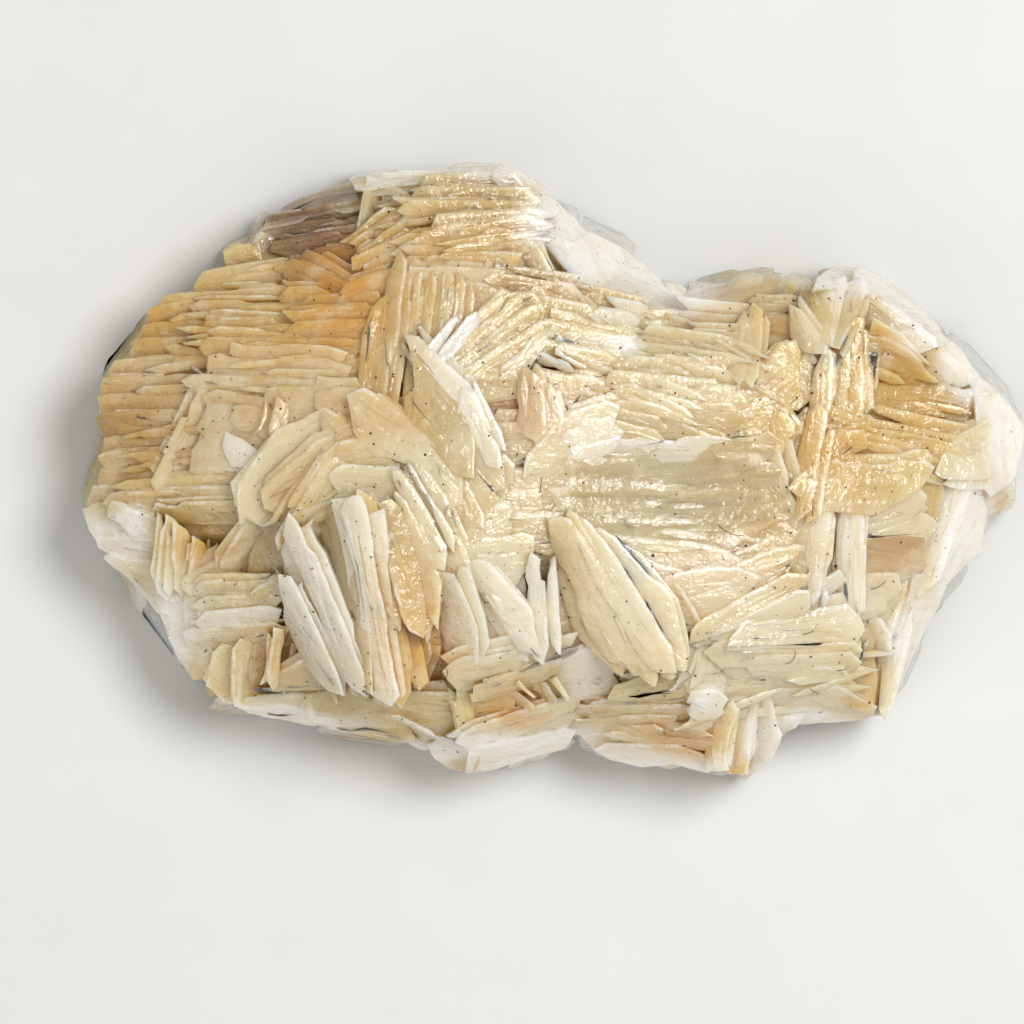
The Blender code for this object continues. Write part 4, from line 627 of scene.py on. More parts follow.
    ("pinkish", 0.4, 0.8, [(53.4, -1.0), (58.4, -1.0), (58.3, -3.4), (56.6, -5.2), (54.4, -5.4)]),
    ("pale", 1.2, 0.9, [
        (46.6, -13.2), (42.9, -29.2), (41.7, -31.6), (42.4, -23.0), (42.8, -19.6), (45.0, -12.8),
    ]),
    ("white", 0.8, 1.1, [
        (48.6, -13.4), (46.2, -13.2), (42.6, -29.4), (43.6, -28.3), (45.9, -22.5), (49.9, -15.0),
    ]),
]

# Steep blades set like shingles all round the sides
SIDE_BLADES = 22
SIDE_HEIGHT = (13.0, 16.5)
SIDE_LENGTH = (12.0, 19.0)
SIDE_WIDTH = (9.5, 13.0)
SIDE_LEAN = (66.0, 82.0)
SIDE_TURN = 14.0
SIDE_INSET = 4.1
SIDE_THICK = 2.6

# Fine build of the crystals: lengths in millimetres, the angle in degrees, and shares and counts
EDGE_STEP = 1.15
CHIP_DEPTH = 0.5
SIDE_FILLERS = 150
SHARP_ANGLE = 32.0
LINE_STEP = 3.0
FACE_OVERLAP = 0.5
LIFT_SHARE = 0.6
FALL_SHARE = 0.42
SLIVERS = 3
SLAB_THICK = 5.0
MASSIVE_SHARE = 0.84

# Rings of a slab from its underside up: inset, height, how far the crest leans back, and frost
SLAB_RINGS = [(0.0, None, 0.55, 0.3), (0.0, -0.22, 0.3, 0.8), (0.08, -0.05, 0.1, 1.0), (0.38, 0.03, 0.0, 0.0)]

# Frost on the rings of a side plate, from its underside up
PLATE_FROST = (0.5, 1.0, 0.35, 0.0)
PLATE_TONES = ("cream", "sand", "pale", "pinkish")


def rgb(red, green, blue, alpha=1.0):
    """A colour given in 0 to 255 as seen on a screen, as the linear values that shaders take."""
    linear = []
    for value in (red, green, blue):
        share = value / 255.0
        linear.append(share / 12.92 if share <= 0.04045 else ((share + 0.055) / 1.055) ** 2.4)
    return (*linear, alpha)


# The surface that the crests reach


def outline_radius(angle):
    """The outline's distance from the middle in that direction."""
    direction = Vector((math.cos(angle), math.sin(angle)))
    for i, corner in enumerate(OUTLINE):
        a, b = Vector(corner), Vector(OUTLINE[(i + 1) % len(OUTLINE)])
        side_a = direction.x * a.y - direction.y * a.x
        side_b = direction.x * b.y - direction.y * b.x
        if side_a <= 0.0 < side_b and direction.dot(a + b) > 0.0:
            share = side_a / (side_a - side_b)
            return a.lerp(b, share).length
    return Vector(OUTLINE[0]).length


ANGLES = np.linspace(-math.pi, math.pi, 721)
RADII = np.array([outline_radius(angle) for angle in ANGLES])


def outline_share(x, y):
    """How far out a point lies: 0 in the middle and 1 on the outline."""
    return np.hypot(x, y) / np.interp(np.arctan2(y, x), ANGLES, RADII)


def crest_height(x, y):
    """Height of the surface that the crests reach: a crown that falls to the rim, with hollows and ridges."""
    share = np.minimum(1.0, outline_share(x, y))
    height = RIM_HEIGHT + (CROWN_HEIGHT - RIM_HEIGHT) * (1.0 - share**CROWN_POWER)
    for cx, cy, rx, ry, change in RELIEF:
        height = height + change * np.exp(-(((x - cx) / rx) ** 2) - ((y - cy) / ry) ** 2)
    return height


# Blades


def rounded(value, power):
    """The value raised to a power, with its sign kept."""
    return math.copysign(abs(value) ** power, value)


def plan_corners(length, width, rng):
    """The corners of a plate's plan, anticlockwise, with its raised edge towards +Y."""
    segments, turn = (WIDE_SEGMENTS, 0.5) if width > NARROW_WIDTH else (NARROW_SEGMENTS, 0.0)
    along_power, across_power = TABLET_POWERS
    corners = []
    for i in range(segments):
        angle = 2.0 * math.pi * (i + turn + rng.uniform(-0.12, 0.12)) / segments
        x = length / 2 * rounded(math.cos(angle), along_power)
        y = width / 2 * rounded(math.sin(angle), across_power)
        corners.append(Vector((x, y)) * (1.0 - rng.uniform(0.0, 0.03)))
    return corners


def ragged(corners, chip, rng, step=EDGE_STEP, grow=0.0):
    """The plan's edge in short steps, with the small breaks that a cleaving crystal has here and there."""
    points = []
    depth, left = 0.0, 0
    for i, corner in enumerate(corners):
        run = corners[(i + 1) % len(corners)] - corner
        steps = max(1, round(run.length / step))
        inward = Vector((-run.y, run.x)).normalized()
        for k in range(steps):
            if left <= 0:
                depth = chip * rng.choice((0.0, 0.0, 0.0, 0.3, 1.0)) * rng.uniform(0.6, 1.2)
                left = rng.randint(2, 6)
            left -= 1
            at = corner + run * k / steps
            points.append(at + inward * (depth + chip * rng.uniform(0.0, 0.2) - grow))
    return points


def blade_frame(start, end, width, lean):
    """The matrix that puts a blade's raised edge on the line from start to end."""
    along = (end - start).normalized()
    level = Vector((-along.y, along.x, 0.0)).normalized()
    upright = along.cross(level).normalized()
    turn = math.radians(lean)
    across = level * math.cos(turn) + upright * math.sin(turn)
    normal = along.cross(across)
    middle = (start + end) / 2 - across * (width / 2)
    turned = Matrix((along, across, normal)).transposed().to_4x4()
    return Matrix.Translation(middle) @ turned


def new_mesh(name, points, faces):
    mesh = bpy.data.meshes.new(name)
    mesh.from_pydata([tuple(point) for point in points], [], faces)
    return mesh


def tone_of(name, shade=0.5):
    """A tone and its shade as one number: the tone's place in the table, plus 0 to 1."""
    return TONE_NAMES.index(name) + 0.03 + 0.94 * max(0.0, min(1.0, shade))


def write_looks(mesh, rim, grain, tone, low):
    """Stores what the looks come from: nearness to a rim, run of the grain, tone, and place down the face."""
    rims = mesh.attributes.new("rim", "FLOAT", "POINT")
    rims.data.foreach_set("value", np.asarray(rim, np.float32))
    lows = mesh.attributes.new("low", "FLOAT", "POINT")
    lows.data.foreach_set("value", np.asarray(low, np.float32))
    tones = mesh.attributes.new("tone", "FLOAT", "FACE")
    tones.data.foreach_set("value", np.full(len(mesh.polygons), tone, np.float32))
    corner_points = np.empty(len(mesh.loops), np.int32)
    mesh.loops.foreach_get("vertex_index", corner_points)
    layer = mesh.uv_layers.new(name="grain")
    layer.data.foreach_set("uv", np.asarray(grain, np.float32)[corner_points].ravel())


def plate_levels(length, width, thick):
    """The rings of a plate from its underside up: scale along, scale across, and height."""
    chisel = min(thick * CHISEL_SHARE, 0.28 * width)
    bevel = (1.0 - 2.0 * chisel / length, 1.0 - 2.0 * chisel / width)
    inner = (max(0.4, 1.0 - 5.0 * chisel / length), max(0.4, 1.0 - 5.0 * chisel / width))
    return [(*bevel, -0.5 * thick), (1.0, 1.0, -0.08 * thick), (*bevel, 0.42 * thick), (*inner, 0.5 * thick)]


def add_plate(collection, frame, length, width, thick, rng, white=1.0):
    """One thin crystal with a ragged edge, its raised edge whiter than the rest."""
    edge = ragged(plan_corners(length, width, rng), min(CHIP_DEPTH, 0.06 * width), rng)
    points, grain, rim, low = [], [], [], []
    shift = Vector((rng.uniform(0, 90), rng.uniform(0, 90)))
    levels = plate_levels(length, width, thick)
    for number, (along, across, height) in enumerate(levels):
        for at in edge:
            x, y = at.x * along, at.y * across
            points.append(frame @ Vector((x, y, height)))
            grain.append((x + shift.x, y + shift.y))
            raised = 0.3 + 0.7 * max(0.0, min(1.0, 1.4 * at.y / width + 0.5))
            rim.append(PLATE_FROST[number] * raised * white)
            low.append(0.5 - y / width)
    count = len(edge)
    faces = [tuple(range(count))[::-1]]
    for ring in range(len(levels) - 1):
        under, over = ring * count, (ring + 1) * count
        for i in range(count):
            j = (i + 1) % count
            faces.append((under + i, under + j, over + j, over + i))
    faces.append(tuple(range((len(levels) - 1) * count, len(levels) * count)))
    mesh = new_mesh("plate", points, faces)
    tone = tone_of(rng.choice(PLATE_TONES), rng.random())
    write_looks(mesh, rim, grain, tone, low)
    collection.objects.link(bpy.data.objects.new("plate", mesh))


def add_terraces(collection, frame, length, width, thick, rng, count):
    """Thinner sheets that step down a plate's face, and one behind it, so its crest is a bundle of lines."""
    lower, above = 0.0, thick * 0.5
    for number in range(count + 1):
        long = length * rng.uniform(0.5, 0.95)
        thin = rng.uniform(0.4, 0.8)
        if number == count:
            lower, above = rng.uniform(-0.35, 0.4), -(thick * 0.5 + thin * 0.1)
        else:
            lower += rng.uniform(0.7, 1.9)
            above += thin * rng.uniform(0.15, 0.45)
        along = (length - long) / 2 * rng.choice((-1.0, 1.0)) * rng.uniform(0.5, 1.1)
        place = Matrix.Translation((along, -lower, above))
        turn = Matrix.Rotation(math.radians(rng.uniform(-3.5, 3.5)), 4, "Z")
        tilt = Matrix.Rotation(math.radians(rng.uniform(-4.0, 1.0) * (number < count)), 4, "X")
        rng.random()  # an unused draw, which keeps the later ones in their order
        add_plate(collection, frame @ place @ turn @ tilt, long, width, thin, rng)


# Crown faces


Plane = namedtuple("Plane", "start along down length width top pitch drop")


def height_at(at):
    """The crown's height at a point of the plan."""
    return float(crest_height(at.x, at.y))


def area_of(corners):
    """The area of a plan, above zero when it runs anticlockwise."""
    doubled = 0.0
    for i, corner in enumerate(corners):
        following = corners[(i + 1) % len(corners)]
        doubled += corner.x * following.y - following.x * corner.y
    return doubled / 2


def clipped(corners, at, inward):
    """The part of a plan on the inward side of a line."""
    kept = []
    for i, corner in enumerate(corners):
        following = corners[(i + 1) % len(corners)]
        here, there = (corner - at).dot(inward), (following - at).dot(inward)
        if here >= 0.0:
            kept.append(corner)
        if here * there < 0.0:
            kept.append(corner.lerp(following, here / (here - there)))
    return kept


def plane_of(corners, lift, fall):
    """The sloping plane of a face, highest along its crest: the crown's slope with a fall of its own."""
    start, end = corners[0], corners[1]
    length = (end - start).length
    along = (end - start) / length
    down = Vector((-along.y, along.x))
    foot = sum(corners, Vector((0.0, 0.0))) / len(corners)
    if (foot - start).dot(down) < 0.0:
        down = -down
    width = max((corner - start).dot(down) for corner in corners)
    top = height_at((start + end) / 2)
    ground = (top - height_at(foot)) * width / (foot - start).dot(down)
    drop = 0.95 * max(-3.0, min(12.0, ground)) + FALL_SHARE * fall * min(4.5, 1.2 + 0.35 * width)
    pitch = max(-0.8, min(0.8, 0.8 * (height_at(end) - height_at(start)) / length))
    return Plane(start, along, down, length, width, top + LIFT_SHARE * lift, pitch, max(0.4, drop))


def add_slab(
    collection, plane, corners, above, thick, tone, rng, chip=CHIP_DEPTH, white=1.0, step=EDGE_STEP, grow=0.0,
):
    """One crystal face and the plate under it: the plan pushed down from its plane, the crest frosted."""
    if area_of(corners) < 0.0:
        corners = corners[::-1]
    edge = ragged(corners, chip, rng, step, grow)
    spans = [((at - plane.start).dot(plane.along), (at - plane.start).dot(plane.down)) for at in edge]
    left, right = min(u for u, v in spans), max(u for u, v in spans)
    near, far = min(v for u, v in spans), max(v for u, v in spans)
    shift = (rng.uniform(0, 90), rng.uniform(0, 90))
    points, grain, rim, low = [], [], [], []
    for inset, height, back, frost in SLAB_RINGS:
        wide = max(0.6, 1.0 - 2.0 * inset / max(0.1, right - left))
        deep = max(0.6, 1.0 - 2.0 * inset / max(0.1, far - near))
        for u, v in spans:
            own = (v - near) / max(0.1, far - near)
            u = (left + right) / 2 + (u - (left + right) / 2) * wide
            v = (near + far) / 2 + (v - (near + far) / 2) * deep - back * (1.0 - own)
            at = plane.start + plane.along * u + plane.down * v
            level = -thick if height is None else height
            z = plane.top + plane.pitch * (u - plane.length / 2) - plane.drop * v / plane.width
            points.append((at.x, at.y, z + above + level))
            grain.append((u + shift[0], v + shift[1]))
            rim.append(frost * (0.2 + 0.8 * (1.0 - own) ** 1.5) * white)
            low.append(max(0.0, min(1.0, v / plane.width)))
    count = len(edge)
    faces = [tuple(range(count))[::-1]]
    for ring in range(len(SLAB_RINGS) - 1):
        for i in range(count):
            j = (i + 1) % count
            under, over = ring * count, (ring + 1) * count
            faces.append((under + i, under + j, over + j, over + i))
    faces.append(tuple(range((len(SLAB_RINGS) - 1) * count, len(SLAB_RINGS) * count)))
    mesh = new_mesh("slab", points, faces)
    write_looks(mesh, rim, grain, tone, low)
    collection.objects.link(bpy.data.objects.new("slab", mesh))


def pointed(plane, corners, rng):
    """The plan with its blunt ends drawn out to points, so that neighbouring crystals interlock."""
    middle = sum(corners, Vector((0.0, 0.0))) / len(corners)
    drawn = []
    for i, corner in enumerate(corners):
        following = corners[(i + 1) % len(corners)]
        run = following - corner
        drawn.append(corner)
        if run.length > 0.8 and abs(run.normalized().dot(plane.down)) > 0.75:
            tip = corner.lerp(following, rng.uniform(0.15, 0.85))
            outward = plane.along if (tip - middle).dot(plane.along) > 0.0 else -plane.along
            tip = tip + outward * min(rng.uniform(0.8, 3.0), 0.2 * plane.length)
            if float(outline_share(tip.x, tip.y)) < 0.98:
                drawn.append(tip)
    return drawn


def add_steps(collection, plane, corners, tone, rng):
    """Thin sheets on a face, each starting further from the crest, as a crystal cleaves."""
    count = min(3, int(plane.width / 2.3))
    above = 0.0
    for number in range(count):
        inward = plane.down.copy()
        inward.rotate(Matrix.Rotation(math.radians(rng.gauss(0.0, 4.0)), 2))
        reach = plane.width * (number + rng.uniform(0.5, 1.1)) / (count + 0.6)
        part = clipped(corners, plane.start + plane.along * (plane.length / 2) + plane.down * reach, inward)
        if rng.random() < 0.6 and len(part) > 2:
            side = rng.choice((-1.0, 1.0))
            inset = plane.start + plane.along * plane.length * (0.5 - side * rng.uniform(0.1, 0.4))
            part = clipped(part, inset, plane.along * side + plane.down * rng.choice((-1.6, -0.9, 0.9, 1.6)))
        above += rng.uniform(0.05, 0.12)
        if len(part) > 2 and abs(area_of(part)) > 1.5:
            add_slab(collection, plane, part, above, 1.2 + above, tone, rng, white=0.5, step=1.6)


def add_lines(collection, plane, name, shade, rng):
    """Slim plates grown against the back of a crest, so that it reads as a bundle of lines."""
    gap = 0.1
    for number in range(rng.choice((0, 1, 1))):
        thin = rng.uniform(0.35, 0.7)
        left = plane.length * rng.uniform(0.0, 0.3)
        right = plane.length * rng.uniform(0.7, 1.0)
        strip = []
        for u, v in ((left, gap), (right, gap), (right - 0.6, gap + thin), (left + 0.4, gap + thin)):
            strip.append(plane.start + plane.along * u - plane.down * v)
        above = -rng.uniform(0.1, 0.6)
        tone = tone_of(name, shade + rng.uniform(-0.3, 0.3))
        add_slab(collection, plane, strip, above, 3.5, tone, rng, 0.1, 0.7, LINE_STEP)
        gap += thin + rng.uniform(0.0, 0.5)


def within(band, corners):
    """The part of a narrow band that lies inside a plan."""
    if area_of(corners) < 0.0:
        corners = corners[::-1]
    for i, corner in enumerate(corners):
        run = corners[(i + 1) % len(corners)] - corner
        band = clipped(band, corner, Vector((-run.y, run.x)))
    return band


def add_slivers(collection, plane, corners, name, shade, rng):
    """Thin pointed splinters that run with the crest across a face."""
    for number in range(SLIVERS + int(plane.width / 3.0)):
        middle = plane.length * rng.uniform(0.1, 0.9)
        half = rng.uniform(1.6, 0.5 * max(3.6, min(12.0, plane.length)))
        at = plane.width * rng.uniform(0.05, 0.9)
        thin, slant = rng.uniform(0.25, 0.6), rng.gauss(0.0, 0.05)
        band = []
        for u, v in ((-half, 0.0), (-0.2 * half, -thin), (half, 0.0), (0.3 * half, thin)):
            band.append(plane.start + plane.along * (middle + u) + plane.down * (at + v + slant * u))
        band = within(band, corners)
        if len(band) > 2 and abs(area_of(band)) > 0.6:
            above = rng.uniform(0.06, 0.2)
            tone = tone_of(name, shade + rng.uniform(-0.5, 0.5))
            frost = rng.uniform(0.2, 0.9)
            add_slab(collection, plane, band, above, 0.9 + above, tone, rng, 0.0, frost, LINE_STEP)


def add_companions(collection, plane, corners, name, rng):
    """Lower plates of the same run on both sides of a face, which show in the gaps between the faces."""
    middle = sum(corners, Vector((0.0, 0.0))) / len(corners)
    for side in (-1.0, 1.0):
        shift = plane.down * side * rng.uniform(0.9, 2.2) + plane.along * rng.uniform(-1.5, 1.5)
        turned = []
        for corner in corners:
            arm = (corner - middle) * rng.uniform(0.82, 0.98)
            arm.rotate(Matrix.Rotation(math.radians(rng.gauss(0.0, 2.0)), 2))
            turned.append(middle + shift + arm)
        if max(float(outline_share(corner.x, corner.y)) for corner in turned) < 0.97:
            tone = tone_of(name, rng.uniform(0.0, 0.5))
            add_slab(collection, plane, turned, -rng.uniform(0.5, 1.3), 4.0, tone, rng, white=0.6, step=1.8)


def flushness(at):
    """How far a place lies in a flush zone: 0 outside and 1 well inside."""
    far = min(math.hypot((at.x - cx) / rx, (at.y - cy) / ry) for cx, cy, rx, ry in FLUSH)
    return max(0.0, min(1.0, (1.25 - far) / 0.4))


def add_faces(collection, rng):
    """Every face of the crown with its steps, the slim plates behind its crest, and its lower companions."""
    for name, lift, fall, plan in FACES:
        corners = [Vector(corner) for corner in plan]
        middle = sum(corners, Vector((0.0, 0.0))) / len(corners)
        flat = FLUSH_SHARE * flushness(middle)
        plane = plane_of(corners, lift * (1.0 - flat), fall * (1.0 - flat))
        shade = rng.random()
        corners = pointed(plane, corners, rng)
        white = 0.35 if name in DARK_TONES else 0.55 if name == "greyed" else 1.0 - flat
        massive = name == "white" and float(outline_share(middle.x, middle.y)) > MASSIVE_SHARE
        thick, tone = SLAB_THICK + max(0.0, lift), tone_of(name, shade)
        add_slab(collection, plane, corners, 0.0, thick, tone, rng, white=white, grow=FACE_OVERLAP)
        if not massive:
            add_steps(collection, plane, corners, tone, rng)
            add_lines(collection, plane, name, shade, rng)
            add_slivers(collection, plane, corners, name, shade, rng)
            add_companions(collection, plane, corners, name, rng)


def add_strands(collection, rng):
    """Long thin crystals that run over the joints between the faces of a row."""
    for x, y, reach, spread, heading, count, names in STRANDS:
        for number in range(count):
            turn = math.radians(heading + rng.gauss(0.0, 5.0))
            along = Vector((math.cos(turn), math.sin(turn)))
            across = Vector((-along.y, along.x))
            at = Vector((x, y)) + along * rng.uniform(-reach, reach) + across * rng.uniform(-spread, spread)
            half, thin = rng.uniform(*STRAND_HALF), rng.uniform(*STRAND_THIN)
            corners = []
            for u, v in STRAND_PLAN:
                corners.append(at + along * u * half + across * v * thin)
            lift, tone = rng.uniform(0.2, 0.9), tone_of(rng.choice(names), rng.random())
            if max(float(outline_share(corner.x, corner.y)) for corner in corners) < 0.97:
                plane, frost = plane_of(corners, lift, 0.2), rng.uniform(0.2, 0.8)
                add_slab(collection, plane, corners, 0.0, STRAND_THICK, tone, rng, 0.12, frost, LINE_STEP)


# Sides


def rim_point(share):
    """A point that share of the way round the outline, and the direction of the outline there."""
    corners = [Vector(corner) for corner in OUTLINE]
    spans = [(corners[(i + 1) % len(corners)] - corner).length for i, corner in enumerate(corners)]
    left = share * sum(spans)
    for i, span in enumerate(spans):
        if left <= span:
            break
        left -= span
    run = corners[(i + 1) % len(corners)] - corners[i]
    around = corners[(i + 2) % len(corners)] - corners[i - 1]
    return corners[i] + run * left / span, around.normalized()


def drawn_in(frame, half_length, width):
    """The same frame moved towards the middle until its plate lies inside the outline."""
    for _ in range(40):
        reach = 0.0
        for u in (-0.85 * half_length, 0.0, 0.85 * half_length):
            at = frame @ Vector((u, -width / 2, 0.0))
            reach = max(reach, float(outline_share(at.x, at.y)))
        if reach <= 1.0:
            break
        frame = Matrix.Translation(Vector((frame[0][3], frame[1][3], 0.0)) * -0.006) @ frame
    return frame


def add_side_blades(collection, rng):
    """Steep blades set like shingles into the sides, with small ledges scattered between them."""
    shared = random.Random(SEED)
    for number in range(SIDE_BLADES):
        point, around = rim_point((number + shared.uniform(0.2, 0.8)) / SIDE_BLADES)
        point -= Vector((around.y, -around.x)) * SIDE_INSET
        around.rotate(Matrix.Rotation(math.radians(shared.uniform(-SIDE_TURN, SIDE_TURN)), 2))
        half = around.to_3d() * shared.uniform(*SIDE_LENGTH) / 2
        half.z = shared.uniform(-1.6, 1.6)
        crest = Vector((point.x, point.y, shared.uniform(*SIDE_HEIGHT)))
        width, lean = shared.uniform(*SIDE_WIDTH), shared.uniform(*SIDE_LEAN)
        frame = drawn_in(blade_frame(crest - half, crest + half, width, lean), half.length, width)
        size = (2 * half.length, width, SIDE_THICK)
        add_plate(collection, frame, *size, rng, white=0.6)
        add_terraces(collection, frame, *size, rng, 3)
    for _ in range(SIDE_FILLERS):
        point, around = rim_point(rng.random())
        height = rng.uniform(4.0, 14.0)
        outward = Vector((around.y, -around.x))
        point -= outward * (rng.uniform(0.9, 2.0) + 0.22 * abs(height - 8.0))
        around.rotate(Matrix.Rotation(math.radians(rng.gauss(0.0, 16.0)), 2))
        half = around.to_3d() * rng.uniform(3.0, 8.0) / 2
        half.z = rng.gauss(0.0, 0.9)
        crest = Vector((point.x, point.y, height))
        width = rng.uniform(3.0, 6.0)
        frame = blade_frame(crest - half, crest + half, width, rng.uniform(60.0, 88.0))
        add_plate(collection, frame, 2 * half.length, width, rng.uniform(0.7, 1.6), rng, white=0.5)


# The massive base


def base_ring(share, height_of):
    """A ring of the base in short steps, pushed in and out by lumps."""
    ring = []
    for i, corner in enumerate(OUTLINE):
        a, b = Vector(corner), Vector(OUTLINE[(i + 1) % len(OUTLINE)])
        steps = 2
        for k in range(steps):
            at = a.lerp(b, k / steps) * share
            point = Vector((at.x, at.y, height_of(at.x, at.y)))
            lump = noise.noise(point * 0.22) + 0.6 * noise.noise(point * 0.55 + Vector((7, 3, 1)))
            grow = 1.0 + BASE_ROUGHNESS * lump / max(14.0, at.length) * 0.8
            lift = BASE_ROUGHNESS * noise.noise(point * 0.4 + Vector((1, 9, 4))) if point.z > 0.0 else 0.0
            ring.append((point.x * grow, point.y * grow, point.z + lift))
    return ring


def base_mesh():
    rings = [base_ring(share, lambda x, y, z=height: z) for height, share in BASE_LEVELS]
    for share, depth in TOP_LEVELS[:-1]:
        rings.append(base_ring(share, lambda x, y, d=depth: float(crest_height(x, y)) - d))
    count = len(rings[0])
    points = [point for ring in rings for point in ring]
    points.append((0.0, 0.0, float(crest_height(0.0, 0.0)) - TOP_LEVELS[-1][1]))
    faces = [tuple(range(count))[::-1]]
    for ring in range(len(rings) - 1):
        low, high = ring * count, (ring + 1) * count
        for i in range(count):
            j = (i + 1) % count
            faces.append((low + i, low + j, high + j))
            faces.append((low + i, high + j, high + i))
    top = (len(rings) - 1) * count
    for i in range(count):
        faces.append((top + i, top + (i + 1) % count, len(points) - 1))
    mesh = new_mesh("base", points, faces)
    grain = [(x + z, y - z) for x, y, z in points]
    write_looks(mesh, [0.25] * len(points), grain, tone_of("sand"), [0.7] * len(points))
    return mesh


def lump_mesh(x, y, z, rx, ry, rz):
    """A rounded knob, uneven as botryoidal mineral is."""
    around, up = 20, 12
    points = []
    for row in range(1, up):
        polar = math.pi * row / up
        for k in range(around):
            angle = 2.0 * math.pi * k / around
            out = math.sin(polar)
            direction = Vector((out * math.cos(angle), out * math.sin(angle), -math.cos(polar)))
            swell = 1.0 + 0.10 * noise.noise(direction * 2.3 + Vector((x, y, z)))
            px, py = x + rx * direction.x * swell, y + ry * direction.y * swell
            points.append((px, py, z + rz * direction.z * swell))
    bottom, top = len(points), len(points) + 1
    points += [(x, y, z - rz), (x, y, z + rz)]
    faces = []
    for row in range(up - 2):
        for k in range(around):
            a, b = row * around + k, row * around + (k + 1) % around
            faces.append((a, b, b + around, a + around))
    for k in range(around):
        faces.append((bottom, (k + 1) % around, k))
        last = (up - 2) * around
        faces.append((last + k, last + (k + 1) % around, top))
    mesh = new_mesh("lump", points, faces)
    grain = [(px, py + pz) for px, py, pz in points]
    write_looks(mesh, [0.3] * len(points), grain, tone_of("pale"), [0.3] * len(points))
    return mesh


def hollow_mesh():
    """The glassy dish of the round hollow: a crusty lip, and a smooth floor in faint layers along x."""
    cx, cy, rx, ry = HOLLOW
    points, rim = [], []
    for share, over, frost in HOLLOW_RINGS:
        for k in range(HOLLOW_SIDES):
            angle = 2.0 * math.pi * k / HOLLOW_SIDES
            turn = Vector((math.cos(angle), math.sin(angle), 0.0))
            broad, narrow = noise.noise(turn * 1.6 + Vector((4, 1, 5))), noise.noise(turn * 6.0)
            wave = 1.0 + share * (0.2 * broad + 0.07 * narrow)
            x = cx + rx * share * wave * rounded(math.cos(angle), 0.8)
            y = cy + ry * share * wave * rounded(math.sin(angle), 0.8)
            layers = 0.7 * noise.noise(Vector((x * 0.06, y * 0.6, 3.0)))
            layers += 0.3 * noise.noise(Vector((x * 0.2, y * 1.7, 1.0)))
            crust = 0.9 * frost * noise.noise(Vector((x * 0.7, y * 0.9, 9.0)))
            if over > 0.0:
                z = float(crest_height(x, y)) + over + layers + crust
            else:
                z = float(crest_height(cx, cy)) + over
            points.append((x, y, z))
            rim.append(frost)
    points.append((cx, cy, float(crest_height(cx, cy)) + HOLLOW_RINGS[-1][1]))
    rim.append(0.0)
    faces = [tuple(range(HOLLOW_SIDES))[::-1]]
    for ring in range(len(HOLLOW_RINGS) - 1):
        low, high = ring * HOLLOW_SIDES, (ring + 1) * HOLLOW_SIDES
        for k in range(HOLLOW_SIDES):
            following = (k + 1) % HOLLOW_SIDES
            faces.append((low + k, low + following, high + following, high + k))
    last = (len(HOLLOW_RINGS) - 1) * HOLLOW_SIDES
    for k in range(HOLLOW_SIDES):
        faces.append((last + k, last + (k + 1) % HOLLOW_SIDES, len(points) - 1))
    mesh = new_mesh("hollow", points, faces)
    grain = [(x, y) for x, y, z in points]
    write_looks(mesh, rim, grain, tone_of("greyed"), [0.45] * len(points))
    return mesh


# Colours within the cluster, 0 to 255
DARK_TONES = ("amber", "orange", "caramel", "tan", "brown", "umber")
BLEND_CELL = 2.2
BLEND_SHARE = 0.4
# Share of the milky tint and of the painted shade for the palest tones; every other tone takes all of it.
MILK_AND_SHADE_SHARE = {"white": 0.15, "glint": 0.0, "pale": 0.6}
MILK = (0.87, 0.76, 0.5)
# Painted light: the colour that each face takes towards its crest.
CREST_LIGHT = (236, 231, 217)
# Painted shade down each face and in the recesses, and also honey clouding at random.
HONEY_AND_SHADE = (200, 160, 86)

# How the edges of the stains wander, in millimetres: fineness, reach, and the offset of the second direction
DRIFT_SCALE = 0.16
DRIFT_REACH = 3.2
DRIFT_SHIFT = Vector((31.0, 7.0, 19.0))

# Stains and pale zones on the cluster: colour, strength, then patches of x, y, radius along x, radius along y
STAINS = [
    ((108, 70, 42), 0.92, [(-32.0, 30.8, 6.5, 3.6), (-28.0, 33.2, 4.5, 2.8)]),
    ((190, 142, 40), 0.7, [
        (-48, 18, 6, 4), (-51, 6.5, 7, 2.6), (-43, -9.5, 4, 2.6), (-34.5, -23, 2.8, 3), (-17, 30, 4, 3),
    ]),
    ((206, 142, 40), 0.7, [
        (-28.5, 24.5, 5.5, 4), (-15.5, -24, 2.5, 4.5), (-4, -29, 5, 2.4), (16, -34, 5, 2.5),
        (-28, 17.5, 6, 3),
    ]),
    ((206, 164, 88), 0.55, [
        (-44, 19, 14, 8), (-12, 31, 10, 6), (-24, 7, 10, 4),
        (-21, 17, 6, 9), (-19, -19, 4.5, 9), (43, 9, 8, 7), (4, 10.5, 6, 2.2), (-38, 19, 12, 5),
        (-53, 1, 5, 4), (36, 5.5, 4, 6), (42, -11.5, 4, 3), (35, -11, 2, 4), (28, 17.5, 2.5, 3),
        (20, -25, 6, 2), (-31, -3, 2.5, 4),
    ]),
    ((208, 172, 146), 0.45, [
        (55.5, -3.5, 3, 2.5), (19.5, 21.5, 4, 2.6), (-2, 7, 4, 4), (21, -13, 8, 3), (4, -30, 2, 1.5),
    ]),
    ((190, 182, 162), 0.4, [(13, -3, 12, 6), (-8, 3, 4, 5)]),
    ((228, 219, 196), 0.6, [
        (8, -16, 7, 9), (27, -25, 12, 7), (-7, -16, 7, 8), (21, -15, 8, 4), (37, -16, 6, 6), (-47, -20, 4, 8),
    ]),
    ((222, 208, 178), 0.5, [(17, 13, 13, 7), (-2, -2, 4, 6), (-31, 5, 4, 5), (3, 8, 4, 3), (-52, 13, 3, 3)]),
    ((186, 164, 120), 0.45, [(-12, 34, 13, 4), (-30, -26, 5, 4)]),
]

